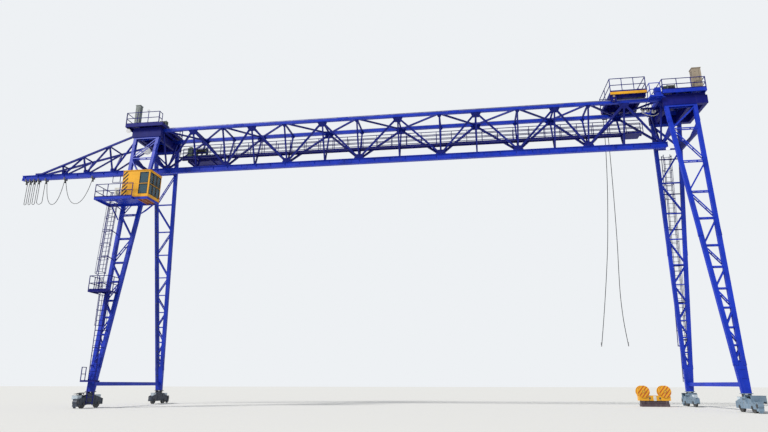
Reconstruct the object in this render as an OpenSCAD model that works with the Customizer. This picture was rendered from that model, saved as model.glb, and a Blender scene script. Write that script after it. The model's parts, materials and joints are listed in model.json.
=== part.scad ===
// Gantry crane with a three-chord lattice bridge, half real size.
// X runs along the bridge, Y along the ground rails, Z up from the rail head.
// The near side of the photo is -Y and the cantilever points to -X.

/* [Main sizes] */
// Distance between the two ground rails
span = 21000; // [20000:100:22000]
// Distance between the two feet of one support
wheel_base = 4600; // [4400:50:5000]
// Height of the underside of the lower chord
clear_h = 9330; // [9000:10:9600]
// Depth of the bridge, from the trolley rail top to the lower chord underside
bridge_depth = 1805; // [1700:5:1900]
// Length of the monorail beyond the left support
cantilever = 6150; // [5800:50:6500]
// Reach of the right head beams beyond the right support
overhang = 950; // [900:10:1100]

/* [Bridge] */
// Distance between the centres of the two top chords
chord_gauge = 1250; // [1200:10:1300]
// Width of a top chord
top_chord_w = 125; // [110:5:140]
// Height of a top chord
top_chord_h = 120; // [100:5:140]
// Width of a trolley rail
rail_w = 30; // [24:1:36]
// Height of a trolley rail
rail_h = 40; // [30:1:50]
// Height of the lower chord
low_chord_h = 225; // [200:5:250]
// Width of the lower chord flanges
low_chord_w = 150; // [130:5:170]
// Thickness of the lower chord flanges
flange_t = 16; // [12:1:24]
// Width of the lower chord web box
low_web_w = 90; // [70:5:110]
// Width of a bridge web bar
web_bar_w = 76; // [60:2:90]
// Thickness of a bridge web bar
web_bar_t = 60; // [50:2:70]
// Width of a bracing bar between the top chords
brace_w = 60; // [40:2:80]
// Thickness of a gusset plate
gusset_t = 20; // [16:1:24]

/* [Legs] */
// Side of a leg chord
leg_chord = 130; // [115:5:145]
// Height of the leg foot above the rail
foot_z = 540; // [520:5:560]
// Distance of the leg top centre from the bridge centre line
leg_top_y = 820; // [810:5:860]
// Half distance between the leg chord centres at the top
leg_half_top = 500; // [480:5:510]
// Half distance between the leg chord centres at the foot
leg_half_foot = 62; // [56:1:68]
// Height of the plated box at a leg foot
leg_box_h = 900; // [800:10:1000]
// Width of a leg lacing bar
lace_w = 42; // [30:2:60]
// Thickness of a leg lacing bar
lace_t = 16; // [10:1:20]
// Width of a tie beam between the feet
tie_w = 110; // [90:5:130]
// Height of a tie beam between the feet
tie_h = 130; // [110:5:150]
// Height of the tie beam centre
tie_z = 790; // [780:5:900]

/* [Heads] */
// Height of a head beam
head_h = 320; // [300:5:340]
// Width of a head beam
head_w = 180; // [160:5:200]
// Depth of the cross beams under the top chords
cross_h = 310; // [290:5:320]
// Width of the cross beams under the top chords
cross_w = 120; // [100:5:140]
// Distance of the cross beams from the support centre
cross_x = 400; // [380:5:420]
// Reach of the left head beams to each side of the support centre
left_reach = 640; // [620:5:680]
// Reach of the right head beams towards the bridge
right_reach = 600; // [590:5:620]
// Depth of the head deck frame
deck_h = 135; // [110:5:150]
// Half width of a head deck along the rails
deck_half = 1030; // [1000:10:1080]
// Height of the left head railing
left_rail_h = 520; // [480:10:560]
// Height of the right head railing
right_rail_h = 440; // [420:10:480]

/* [Access] */
// Side of a railing bar
bar = 22; // [18:1:28]
// Height of the walkway railings
walk_rail_h = 500; // [450:10:560]
// Width of the walkway
walk_w = 290; // [260:10:310]
// Height of the walkway deck above the lower chord
walk_up = 430; // [400:5:460]
// Thickness of a deck plate
plate_t = 16; // [12:1:24]
// Height of the cabin platform underside
cabin_z = 7465; // [7400:5:7550]
// Depth of the cabin platform frame
cabin_frame_h = 85; // [70:5:100]
// Height of the middle platform deck
mid_z = 4025; // [3950:5:4100]
// Width of a ladder
ladder_w = 250; // [220:10:280]
// Distance between ladder rungs
rung_step = 175; // [150:5:200]
// Radius of the ladder cage
cage_r = 190; // [170:5:210]

/* [Cabin] */
// Width of the cabin along the bridge
cabin_w = 1085; // [1050:5:1150]
// Depth of the cabin along the rails
cabin_d = 830; // [800:5:850]
// Height of the cabin walls
cabin_h = 1040; // [1000:10:1100]
// Thickness of the cabin walls
wall_t = 30; // [20:1:40]
// Thickness of the window glass
glass_t = 6; // [4:1:10]

/* [Travel gear] */
// Length of a bogie frame
bogie_l = 1300; // [1250:10:1400]
// Height of the bogie side plates
bogie_h = 400; // [390:5:410]
// Diameter of the wheel flanges
wheel_d = 300; // [280:10:310]
// Distance between the two wheels of a bogie
wheel_gap = 800; // [760:10:840]
// Width of a travel wheel
wheel_w = 76; // [70:1:80]
// Diameter of a wheel axle
axle_d = 50; // [40:1:60]

/* [Trolley] */
// Distance of the trolley centre from the right support
trolley_back = 1750; // [1750:10:2200]
// Length of the trolley
trolley_l = 1300; // [1200:10:1360]
// Half width of the trolley, to the outer face of its yellow edge beams
trolley_half = 850; // [830:5:880]
// Diameter of a trolley wheel tread
trolley_wheel_d = 180; // [160:5:200]
// Height of the yellow edge beams
edge_h = 120; // [100:5:140]
// Clearance between the trolley wheels and the rails
run_gap = 0.3; // [0.2:0.1:0.5]

/* [Hidden] */
$fn = 48;
eps = 0.3;

// Places along the bridge
total_l = cantilever + span + overhang;
tip_x = -total_l / 2;
left_x = tip_x + cantilever;
right_x = left_x + span;
mid_x = (left_x + right_x) / 2;
right_end = right_x + overhang;

// Heights
rail_top = clear_h + bridge_depth;
chord_top = rail_top - rail_h;
chord_bottom = chord_top - top_chord_h;
low_top = clear_h + low_chord_h;
walk_z = low_top + walk_up;
leg_top_z = chord_bottom - cross_h;
head_top = leg_top_z + head_h;
deck_gap = 5;
deck_z = chord_top + deck_gap;
deck_top = deck_z + deck_h;

// Bridge web planes, one each side, leaning out from the lower chord
web_low_y = 52;
web_top_y = chord_gauge / 2;
web_rise = chord_bottom - low_top;
web_lean = atan2(web_top_y - web_low_y, web_rise);
web_len = web_rise / cos(web_lean);

// Half bays of the web from mid span to the first post of a support
end_post = 575;
bays = [1650, 1420, 1590, 1390, 1250, 1300, 1325];
bay_total = sum(bays, len(bays));
half_clear = span / 2 - end_post;
function sum(list, n) = n == 0 ? 0 : list[n - 1] + sum(list, n - 1);
function station(i) = half_clear * sum(bays, i) / bay_total;
function web_y(z) = web_low_y + (z - low_top) * tan(web_lean);

// Leg geometry
leg_rise = leg_top_z - foot_z;
leg_lean = atan2(wheel_base / 2 - leg_top_y, leg_rise);
leg_len = leg_rise / cos(leg_lean);
panels = [975, 1350, 1200, 1000, 975, 750, 725, 625, 625, 550, 480];
function leg_y(z) = wheel_base / 2 - (z - foot_z) * tan(leg_lean);
function leg_in_y(z) = leg_y(z) - leg_chord / 2 / cos(leg_lean) - eps;
function leg_out_y(z) = leg_y(z) + leg_chord / 2 / cos(leg_lean);
function leg_half(z) =
    leg_half_foot + (leg_half_top - leg_half_foot) * (z - foot_z) / leg_rise;

// Cabin place, inward of the near left leg
cabin_x = left_x + 135;
cabin_near_y = -2290;
cabin_far_y = cabin_near_y + cabin_d;
cabin_deck_z = cabin_z + cabin_frame_h;

// Ladder places on the near left leg, measured from its centre
landing_z = foot_z + 360;
low_x = 35;
low_y = leg_out_y(landing_z) + 80;
up_off = 396;
function up_y(z) = leg_y(z) + up_off / cos(leg_lean);
function up_x(z) = leg_half(z) + 100 + 65 * (z - mid_z) / (cabin_z - mid_z);

// Trolley place
trolley_cx = right_x - trolley_back;
trolley_base = rail_top + 45;
edge_z = trolley_base + 85;
trolley_deck = edge_z + edge_h;

// Extrudes a Y-Z outline along X, centred
module along_x(l) {
    rotate([90, 0, 90]) linear_extrude(l, center = true) children();
}

// Extrudes an X-Z outline along Y, centred
module along_y(l) {
    rotate([90, 0, 0]) linear_extrude(l, center = true) children();
}

// Bar of square ends between two points of a flat outline, run past both by more
module flat_bar(a, b, w, more = 0) {
    d = b - a;
    translate(a) rotate(atan2(d.y, d.x)) translate([-more, -w / 2])
        square([norm(d) + 2 * more, w]);
}

// Box bar between two points in space
module bar3(a, b, w, h) {
    d = b - a;
    translate(a)
        rotate([0, -atan2(d.z, norm([d.x, d.y])), atan2(d.y, d.x)])
            translate([0, -w / 2, -h / 2]) cube([norm(d), w, h]);
}

// Cube centred in X and Y that stands on its base
module block(w, d, h) {
    translate([-w / 2, -d / 2, 0]) cube([w, d, h]);
}

// Lower chord: a box web between two flanges, the cantilever is its monorail
low_end = right_x - 340;
module lower_chord() {
    color("mediumblue")
    translate([(tip_x + low_end) / 2, 0, clear_h])
    along_x(low_end - tip_x) {
        translate([-low_chord_w / 2, 0]) square([low_chord_w, flange_t]);
        translate([-low_web_w / 2, 0]) square([low_web_w, low_chord_h]);
        translate([-low_chord_w / 2, low_chord_h - flange_t])
            square([low_chord_w, flange_t]);
    }
}

// Top chord with the trolley rail on it
module top_chord(side) {
    x0 = left_x - left_reach + cross_w;
    x1 = right_x + right_reach - 50;
    color("mediumblue")
    translate([(x0 + x1) / 2, side * chord_gauge / 2, chord_bottom])
    along_x(x1 - x0) {
        translate([-top_chord_w / 2, 0]) square([top_chord_w, top_chord_h]);
    }
    // The trolley rail stops short of both head decks
    r0 = left_deck[1] + 40;
    r1 = right_deck[0] - 40;
    color("mediumblue")
    translate([r0, side * chord_gauge / 2 - rail_w / 2, chord_bottom])
        cube([r1 - r0, rail_w, top_chord_h + rail_h]);
}
module front_top_chord() { top_chord(-1); }
module rear_top_chord() { top_chord(1); }

// Web of one side, drawn flat from the lower chord up, then leaned out
web_post_w = 56;
web_more = 50;
module web_outline() {
    n = len(bays);
    for (s = [-1, 1]) {
        for (i = [0:n - 1]) {
            a = [s * station(i), i % 2 == 0 ? web_len : 0];
            b = [s * station(i + 1), i % 2 == 0 ? 0 : web_len];
            flat_bar(a, b, web_bar_w, web_more);
        }
        for (i = [1:n]) flat_bar([s * station(i), 0],
            [s * station(i), web_len], web_post_w, web_more);
    }
    flat_bar([0, 0], [0, web_len], web_post_w, web_more);
}
module gusset(half, depth) {
    past = -sign(depth) * web_more;
    polygon([[-half, past], [half, past], [half, 0],
        [half * 0.55, depth], [-half * 0.55, depth], [-half, 0]]);
}
module web_gussets() {
    n = len(bays);
    for (s = [-1, 1]) for (i = [0:n]) {
        x = s * station(i);
        big = i == n ? 55 : 210;
        if (i % 2 == 0) translate([x, web_len]) gusset(big, -190);
        else translate([x, 0]) gusset(big, 170);
        if (i % 2 == 1) translate([x, web_len]) gusset(95, -90);
    }
}
module truss_web(side) {
    color("mediumblue")
    translate([mid_x, 0, 0])
    difference() {
        translate([0, side * web_low_y, low_top])
        rotate([-side * web_lean, 0, 0]) {
            along_y(web_bar_t) web_outline();
            along_y(gusset_t) web_gussets();
        }
        translate([-span, -chord_gauge, low_top - 200])
            cube([2 * span, 2 * chord_gauge, 200]);
        translate([-span, -chord_gauge * 2, chord_bottom])
            cube([2 * span, 4 * chord_gauge, 200]);
    }
}
module front_truss_web() { truss_web(-1); }
module rear_truss_web() { truss_web(1); }

// Bracing between the top chords: struts and one zigzag, fused where they cross
module top_bracing() {
    n = len(bays);
    y1 = (chord_gauge - top_chord_w) / 2;
    color("mediumblue")
    translate([mid_x, 0, chord_bottom + 25])
    intersection() {
        linear_extrude(brace_w) {
            for (s = [-1, 1]) {
                for (i = [0:n - 1]) {
                    side = i % 2 == 0 ? 1 : -1;
                    flat_bar([s * station(i), side * chord_gauge / 2],
                        [s * station(i + 1), -side * chord_gauge / 2], brace_w);
                }
                for (i = [1:n]) flat_bar([s * station(i), -chord_gauge / 2],
                    [s * station(i), chord_gauge / 2], brace_w);
            }
            flat_bar([0, -chord_gauge / 2], [0, chord_gauge / 2], brace_w);
        }
        translate([-span / 2, -y1, -1]) cube([span, 2 * y1, brace_w + 2]);
    }
}

// Stays of the cantilever: two inclined ties with posts and diagonals
stay_posts = [1900, 3150, 4180];
stay_end = 5300;
stay_w = 70;
stay_head = [left_x - left_reach, 600, leg_top_z + 225];
stay_foot = [left_x - stay_end, web_low_y, low_top];
function stay_point(d) =
    let (t = (left_x - d - stay_head.x) / (stay_foot.x - stay_head.x))
    stay_head + t * (stay_foot - stay_head);
module stay_side(side) {
    function at(p) = [p.x, side * p.y, p.z];
    function base(d) = [left_x - d, side * web_low_y, low_top - 40];
    bar3(at(stay_head + [120, 20, 35]), at(stay_foot - [130, 0, 38]),
        stay_w, stay_w);
    for (d = stay_posts)
        bar3(base(d), at(stay_point(d)), stay_w * 0.8, stay_w * 0.8);
    bar3(at(stay_point(stay_posts[0])), base(stay_posts[1]),
        stay_w * 0.8, stay_w * 0.8);
    bar3(at(stay_point(stay_posts[1])), base(stay_posts[2]),
        stay_w * 0.8, stay_w * 0.8);
    bar3(at(stay_head + [150, 0, -10]), base(stay_posts[0]),
        stay_w * 0.8, stay_w * 0.8);
    for (d = stay_posts)
        translate([left_x - d, side * (web_low_y - 10), low_top - 10])
            block(230, 16, 140);
}
module cantilever_stays() {
    color("mediumblue")
    difference() {
        union() {
            stay_side(-1);
            stay_side(1);
            for (d = stay_posts) {
                p = stay_point(d);
                bar3([p.x, -p.y, p.z], p, stay_w * 0.7, stay_w * 0.7);
            }
            translate([left_x - stay_end - 60, 0, low_top - 10])
                block(360, 130, 90);
        }
        translate([tip_x - 10, -500, low_top - 200])
            cube([cantilever + 400, 1000, 200]);
        translate([left_x - left_reach, -2000, leg_top_z - 500])
            cube([2000, 4000, 2000]);
    }
}

// Walkway inside the three-chord bridge, its bearers sit between the posts
walk_x0 = left_x + 1150;
walk_x1 = right_x - 1180;
bearer_h = 50;
module bearer(x) {
    z1 = walk_z - plate_t - bearer_h;
    z2 = walk_z - plate_t;
    g = web_bar_t / 2 / cos(web_lean) + eps;
    translate([x, 0, 0]) along_x(50)
        polygon([[-(web_y(z1) - g), z1], [web_y(z1) - g, z1],
            [web_y(z2) - g, z2], [-(web_y(z2) - g), z2]]);
}
module walkway_deck() {
    n = len(bays);
    z2 = walk_z - plate_t;
    wide = 2 * (web_y(z2) - web_bar_t / 2 / cos(web_lean) - 2);
    color("navy") {
        translate([walk_x0, -walk_w / 2, z2])
            cube([walk_x1 - walk_x0, walk_w, plate_t]);
        for (s = [-1, 1]) translate([walk_x0, s * (walk_w / 2 - 8) - 8, z2 - 40])
            cube([walk_x1 - walk_x0, 16, 40 + plate_t]);
        for (i = [1:n - 1]) {
            bearer(mid_x + station(i));
            bearer(mid_x - station(i));
        }
        bearer(mid_x);
        translate([walk_x0, -wide / 2, z2]) cube([1800, wide, plate_t]);
        // Landing that widens through the rear web at the right end
        translate([mid_x + station(n - 1) + 60, -wide / 2, z2 - 45])
            cube([580, wide / 2 + landing_y, plate_t + 45]);
    }
}

// Winch platform behind the rear web, its bearers pass between the web bars
winch_y0 = 262;
winch_y1 = 1000;
landing_y = 395;
winch_bearers = [1480, 2380];
module winch_platform() {
    z2 = walk_z - plate_t;
    x0 = left_x + 1330;
    l = 1400;
    color("navy") {
        translate([x0, winch_y0, z2 - bearer_h]) {
            translate([0, 0, bearer_h]) cube([l, winch_y1 - winch_y0, plate_t]);
            for (y = [0, winch_y1 - winch_y0 - 20]) translate([0, y, -10])
                cube([l, 20, bearer_h + 10]);
            for (x = [0, l - 20]) translate([x, 0, -10])
                cube([20, winch_y1 - winch_y0, bearer_h + 10]);
        }
        for (x = winch_bearers) translate([left_x + x - 25, walk_w / 2, z2 - bearer_h])
            cube([50, winch_y1 - walk_w / 2 - 10, bearer_h - eps]);
        rail_x(x0, x0 + l, winch_y1 - bar / 2, walk_z, walk_rail_h, 460, 2);
    }
}

// Railing along X between two ends, with posts at even gaps
module rail_x(x0, x1, y, z, h, gap, bars) {
    n = max(1, round((x1 - x0) / gap));
    for (i = [0:n]) translate([x0 + (x1 - x0 - bar) * i / n, y - bar / 2, z])
        cube([bar, bar, h]);
    for (k = [1:bars]) translate([x0, y - bar / 2, z + h * k / bars - bar])
        cube([x1 - x0, bar, bar]);
}
module rail_y(y0, y1, x, z, h, gap, bars) {
    translate([x, 0, 0]) rotate(90) rail_x(y0, y1, 0, z, h, gap, bars);
}
module walkway_railings() {
    color("navy") for (s = [-1, 1])
        rail_x(walk_x0, walk_x1, s * (walk_w / 2 - bar / 2), walk_z,
            walk_rail_h, 600, 3);
}

// Winch with its drum on the left end of the walkway
module bridge_winch() {
    x = left_x + 1900;
    l = 900;
    translate([x, 0, walk_z]) {
        color("darkseagreen") {
            block(l, 200, 50);
            for (k = [-60, 400]) translate([k, 0, 45]) block(30, 190, 330);
            translate([-330, 0, 45]) block(200, 180, 380);
            translate([-330, 0, 425]) block(120, 120, 60);
        }
        color("darkslategray") {
            translate([-60, 0, 280]) rotate([0, 90, 0]) cylinder(h = 460, d = 190);
            for (k = [-40, 370]) translate([k, 0, 280]) rotate([0, 90, 0])
                cylinder(h = 20, d = 250);
        }
    }
}

// Leg: two box chords that meet at the foot, laced on both faces
module leg_outline() {
    for (s = [-1, 1]) mirror([s < 0 ? 1 : 0, 0])
        polygon([[flat_half(-60) - leg_chord / 2, -60],
            [flat_half(-60) + leg_chord / 2, -60],
            [flat_half(leg_len + 60) + leg_chord / 2, leg_len + 60],
            [flat_half(leg_len + 60) - leg_chord / 2, leg_len + 60]]);
    polygon([[-flat_half(0), -60], [flat_half(0), -60],
        [flat_half(leg_box_h), leg_box_h], [-flat_half(leg_box_h), leg_box_h]]);
}
function flat_half(s) =
    leg_half_foot + (leg_half_top - leg_half_foot) * s / leg_len;
module lacing(turn) {
    levels = [for (i = [0:len(panels)]) leg_len - 45 - sum(panels, i)];
    for (i = [0:len(levels) - 1]) {
        s = levels[i];
        flat_bar([-flat_half(s), s], [flat_half(s), s], lace_w);
    }
    for (i = [0:len(panels) - 1]) {
        d = i % 2 == 0 ? turn : -turn;
        flat_bar([-d * flat_half(levels[i]), levels[i] - 30],
            [d * flat_half(levels[i + 1]), levels[i + 1] + 30], lace_w);
    }
    flat_bar([-flat_half(leg_len), leg_len - 45],
        [flat_half(leg_len), leg_len - 45], 2 * lace_w);
}
module battens(turn) {
    levels = [for (i = [0:len(panels)]) leg_len - 45 - sum(panels, i)];
    for (s = levels, k = [-0.35, 0.35])
        translate([k * flat_half(s) - 12, s - lace_w / 2]) square([24, lace_w]);
    for (i = [0:len(panels) - 1], k = [0.36, 0.64]) {
        d = i % 2 == 0 ? turn : -turn;
        a = [-d * flat_half(levels[i]), levels[i] - 30];
        b = [d * flat_half(levels[i + 1]), levels[i + 1] + 30];
        translate(a + (b - a) * k) square([24, lace_w * 0.9], center = true);
    }
}
module leg(x, side) {
    off = leg_chord / 2 - lace_t / 2;
    color("mediumblue")
    difference() {
        translate([x, side * wheel_base / 2, foot_z])
        rotate([side * leg_lean, 0, 0]) {
            along_y(leg_chord) leg_outline();
            for (f = [-1, 1]) translate([0, f * off, 0]) along_y(lace_t) lacing(side);
            along_y(leg_chord - 2) battens(side);
        }
        translate([x - 1000, -wheel_base, leg_top_z])
            cube([2000, 2 * wheel_base, 400]);
        translate([x - 1000, -wheel_base, foot_z - 400])
            cube([2000, 2 * wheel_base, 400]);
    }
}
module near_left_leg() { leg(left_x, -1); }
module far_left_leg() { leg(left_x, 1); }
module near_right_leg() { leg(right_x, -1); }
module far_right_leg() { leg(right_x, 1); }

// Space behind the outer face of the near left leg, cut from what seats there
module behind_leg() {
    translate([left_x, -wheel_base / 2, foot_z])
        rotate([-leg_lean, 0, 0]) translate([-900, -leg_chord / 2 - eps, 0])
            cube([1800, 800, leg_len]);
}

// Beam across a support between the two legs, its ends follow their lean
module between_legs(x, w, z1, z2) {
    translate([x, 0, 0]) along_x(w)
        polygon([[-leg_in_y(z1), z1], [leg_in_y(z1), z1],
            [leg_in_y(z2), z2], [-leg_in_y(z2), z2]]);
}
module tie_beams() {
    color("mediumblue") for (x = [left_x, right_x])
        between_legs(x, tie_w, tie_z - tie_h / 2, tie_z + tie_h / 2);
}

// Crossheads over the lower chord, deep at the legs and slim in the middle
module crosshead(x, side) {
    z1 = low_top;
    z2 = low_top + 330;
    xx = side * leg_half(low_top + 150);
    translate([x + xx, 0, 0]) along_x(90)
        polygon([[-leg_in_y(z1), z1], [leg_in_y(z1), z1],
            [leg_in_y(z2), z2], [180, z1 + 110], [-180, z1 + 110],
            [-leg_in_y(z2), z2]]);
}
module crossheads() {
    color("navy") for (x = [left_x, right_x], s = [-1, 1]) crosshead(x, s);
}

// Head frame: a beam on each leg, joined by cross beams that carry the chords
module head_frame(x, inner, outer, out) {
    beam_y = leg_top_y;
    x0 = out < 0 ? -outer : -inner;
    x1 = out < 0 ? inner : outer;
    translate([x, 0, leg_top_z]) {
        for (s = [-1, 1]) {
            translate([x0, s * beam_y - head_w / 2, 0]) cube([x1 - x0, head_w, head_h]);
            translate([x0 + 40, s * beam_y - 50, head_h])
                cube([x1 - x0 - 80, 100, deck_z - head_top]);
        }
        inside = 2 * beam_y - head_w;
        for (s = [-1, 1]) translate([s * cross_x, 0, 0])
            block(cross_w, inside, cross_h);
        translate([out * (outer - cross_w / 2), 0, 0])
            block(cross_w, inside, head_h);
    }
}
module left_head_frame() {
    color("navy") head_frame(left_x, left_reach - 5, left_reach, -1);
}
module right_head_frame() {
    color("navy") head_frame(right_x, right_reach, overhang, 1);
}

// Head deck: a plate in a deep frame above the top chords
left_deck = [left_x - 925, left_x + 725];
right_deck = [right_x - 600, right_x + 925];
module head_deck(ends) {
    l = ends[1] - ends[0];
    translate([ends[0], -deck_half, deck_z]) {
        translate([0, 0, deck_h - plate_t]) cube([l, 2 * deck_half, plate_t]);
        for (y = [0, 2 * deck_half - 25]) translate([0, y, 0]) cube([l, 25, deck_h]);
        for (x = [0, l / 3, 2 * l / 3, l - 25])
            translate([x, 0, 0]) cube([25, 2 * deck_half, deck_h]);
    }
}
module left_head_deck() { color("mediumblue") head_deck(left_deck); }
module right_head_deck() { color("mediumblue") head_deck(right_deck); }
module head_railing(x0, x1, h) {
    for (s = [-1, 1]) rail_x(x0, x1, s * (deck_half - bar / 2), deck_top, h, 540, 2);
}
module end_rail(x, y0, y1, h) {
    rail_y(y0 + bar + eps, y1, x, deck_top, h, 690, 2);
}
module left_head_railing() {
    x1 = left_deck[1] - 175;
    color("navy") {
        head_railing(left_deck[0], x1, left_rail_h);
        end_rail(left_deck[0] + bar / 2, -deck_half, deck_half - bar - eps, left_rail_h);
        // Open to the bridge between two short returns
        end_rail(x1 - bar / 2, -deck_half, -deck_half + 270, left_rail_h);
        end_rail(x1 - bar / 2, deck_half - 270, deck_half - bar - eps, left_rail_h);
    }
}
module right_head_railing() {
    color("navy") {
        head_railing(right_deck[0], right_deck[1], right_rail_h);
        for (x = [right_deck[0] + bar / 2, right_deck[1] - bar / 2])
            end_rail(x, -deck_half, deck_half - bar - eps, right_rail_h);
    }
}

// Boarding platform beside the parked trolley, on bearers over the right head beam
board_x = right_x - 1060;
board_h = 60;
module boarding_platform() {
    x1 = right_deck[0] - eps;
    y0 = -deck_half;
    w = deck_half - chord_gauge / 2 - top_chord_w / 2 - 15;
    z = head_top + eps;
    l = x1 - board_x;
    color("mediumblue") {
        translate([board_x, y0, z + board_h - plate_t]) cube([l, w, plate_t]);
        for (y = [0, w - 20]) translate([board_x, y0 + y, z]) cube([l, 20, board_h]);
        for (x = [0, l - 20]) translate([board_x + x, y0, z]) cube([20, w, board_h]);
        for (y = [-leg_top_y - 75, -leg_top_y + 75])
            translate([board_x, y - 10, z])
                cube([right_x - right_reach + 110 - board_x, 20, board_h - plate_t]);
        rail_x(board_x, x1 - 60, y0 + bar / 2, z + board_h, 500, 280, 2);
        rail_y(y0, y0 + w, board_x + bar / 2, z + board_h, 500, 280, 2);
        // Closed locker at the foot of the head deck
        translate([x1 - 150, y0 + 150, z + board_h]) block(200, 180, 330);
    }
}

// Tall electrical cabinets on the head decks
module cabinet(w, d, h) {
    block(w, d, h);
    translate([0, 0, h]) block(w + 30, d + 30, 20);
    translate([0, -d / 2, 60]) block(w * 0.42, 20, h - 130);
}
module left_cabinet() {
    color("slategray")
    translate([left_deck[0] + 390, -deck_half + 220, deck_top])
        cabinet(200, 190, 900);
}
module right_cabinet() {
    color("tan")
    translate([right_deck[1] - 220, -deck_half + 220, deck_top])
        cabinet(300, 250, 850);
}

// Small rope winches on the head decks
module small_winch() {
    color("darkolivegreen") block(520, 240, 40);
    color("darkslategray") {
        translate([-60, 0, 150]) rotate([0, 90, 0]) cylinder(h = 240, d = 200);
        translate([-235, 0, 140]) rotate([0, 90, 0]) cylinder(h = 175, d = 130);
        for (x = [-75, 185]) translate([x, 0, 35]) block(30, 180, 210);
        translate([-160, 0, 35]) block(80, 90, 100);
    }
}
module head_winches() {
    translate([left_deck[1] - 265, -deck_half + 470, deck_top]) small_winch();
    translate([right_deck[0] + 300, -deck_half + 220, deck_top]) small_winch();
}

// Cabin platform: an outlined frame with braces down to the near left leg
plat_x0 = left_x - 850;
plat_x1 = cabin_x + cabin_w;
plat_step = left_x + 675;
plat_near_y = -2450;
plat_far_y = cabin_far_y;
module platform_outline() {
    polygon([[plat_x0, plat_near_y], [plat_step, plat_near_y],
        [plat_step, cabin_near_y], [plat_x1, cabin_near_y],
        [plat_x1, plat_far_y], [plat_x0, plat_far_y]]);
}
module cabin_platform() {
    z0 = cabin_z;
    leg_face = -leg_out_y(z0);
    color("mediumblue") difference() {
        union() {
            translate([0, 0, z0 + cabin_frame_h - plate_t])
                linear_extrude(plate_t) platform_outline();
            translate([0, 0, z0]) linear_extrude(cabin_frame_h)
                difference() {
                    platform_outline();
                    translate([plat_x0 + 20, plat_near_y + 20])
                        square([plat_step - plat_x0 - 40, -plat_near_y + plat_far_y - 40]);
                    translate([plat_step - 30, cabin_near_y + 20])
                        square([plat_x1 - plat_step + 10, plat_far_y - cabin_near_y - 40]);
                }
            for (s = [-1, 1]) {
                xx = left_x + s * leg_half(z0);
                translate([xx - 40, plat_far_y - 30, z0])
                    cube([80, leg_face - plat_far_y + 160, cabin_frame_h]);
                z1 = z0 - (s < 0 ? 700 : 400);
                bar3([left_x + s * leg_half(z1), -leg_y(z1), z1],
                    [left_x + (s < 0 ? -740 : 1000), plat_far_y - 10, z0 + 20], 45, 45);
            }
        }
        behind_leg();
        translate([left_x - up_x(cabin_deck_z) - 200, -up_y(cabin_deck_z) - 280, z0 - 1])
            cube([400, 320, cabin_frame_h + 2]);
    }
}
module cabin_railing() {
    x1 = plat_step;
    color("navy") {
        rail_x(plat_x0, x1, plat_near_y + bar / 2, cabin_deck_z, 525, 480, 2);
        rail_y(plat_near_y, plat_far_y, plat_x0 + bar / 2, cabin_deck_z, 525, 430, 2);
        rail_x(plat_x0, left_x - 430, plat_far_y - bar / 2, cabin_deck_z, 525, 430, 2);
    }
}

// Cabin: floor, walls with window openings, roof and glazing
win_low = 120;
win_mid = 520;
win_high = cabin_h - 70;
module wall_windows() {
    x0 = cabin_x;
    y0 = cabin_near_y;
    z0 = cabin_deck_z + plate_t;
    // Front and rear windows, two high at the glazed end
    for (z = [[win_low, win_mid - 20], [win_mid + 20, win_high]]) {
        translate([x0 + cabin_w - 400, y0 - 10, z0 + z[0]])
            cube([340, cabin_d + 20, z[1] - z[0]]);
        for (k = [0:2]) translate([x0 + cabin_w - 60,
            y0 + 50 + k * (cabin_d - 70) / 3, z0 + z[0]])
            cube([100, (cabin_d - 70) / 3 - 30, z[1] - z[0]]);
    }
}
module door_gap() {
    translate([cabin_x - 10, cabin_far_y - 420, cabin_deck_z + plate_t + 30])
        cube([wall_t + 20, 340, cabin_h - 110]);
}
module cabin_floor() {
    color("sienna")
    translate([cabin_x, cabin_near_y, cabin_deck_z])
        cube([cabin_w, cabin_d, plate_t]);
}
module cabin_walls() {
    color("gold") difference() {
        translate([cabin_x, cabin_near_y, cabin_deck_z + plate_t])
            cube([cabin_w, cabin_d, cabin_h]);
        translate([cabin_x + wall_t, cabin_near_y + wall_t, cabin_deck_z])
            cube([cabin_w - 2 * wall_t, cabin_d - 2 * wall_t, cabin_h + 100]);
        wall_windows();
        door_gap();
    }
}
module cabin_roof() {
    color("goldenrod")
    translate([cabin_x - 15, cabin_near_y - 15, cabin_deck_z + plate_t + cabin_h])
        cube([cabin_w + 30, cabin_d + 30, 26]);
}
module cabin_windows() {
    c = (wall_t - glass_t) / 2;
    color("lightsteelblue") intersection() {
        difference() {
            translate([cabin_x + c, cabin_near_y + c, cabin_deck_z + plate_t])
                cube([cabin_w - 2 * c, cabin_d - 2 * c, cabin_h]);
            translate([cabin_x + c + glass_t, cabin_near_y + c + glass_t, cabin_deck_z])
                cube([cabin_w - 2 * (c + glass_t), cabin_d - 2 * (c + glass_t),
                    cabin_h + 100]);
        }
        wall_windows();
    }
}
module cooling_unit() {
    color("whitesmoke")
    translate([left_x - 60, cabin_near_y + 230, cabin_deck_z])
        block(330, 260, 440);
}

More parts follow.
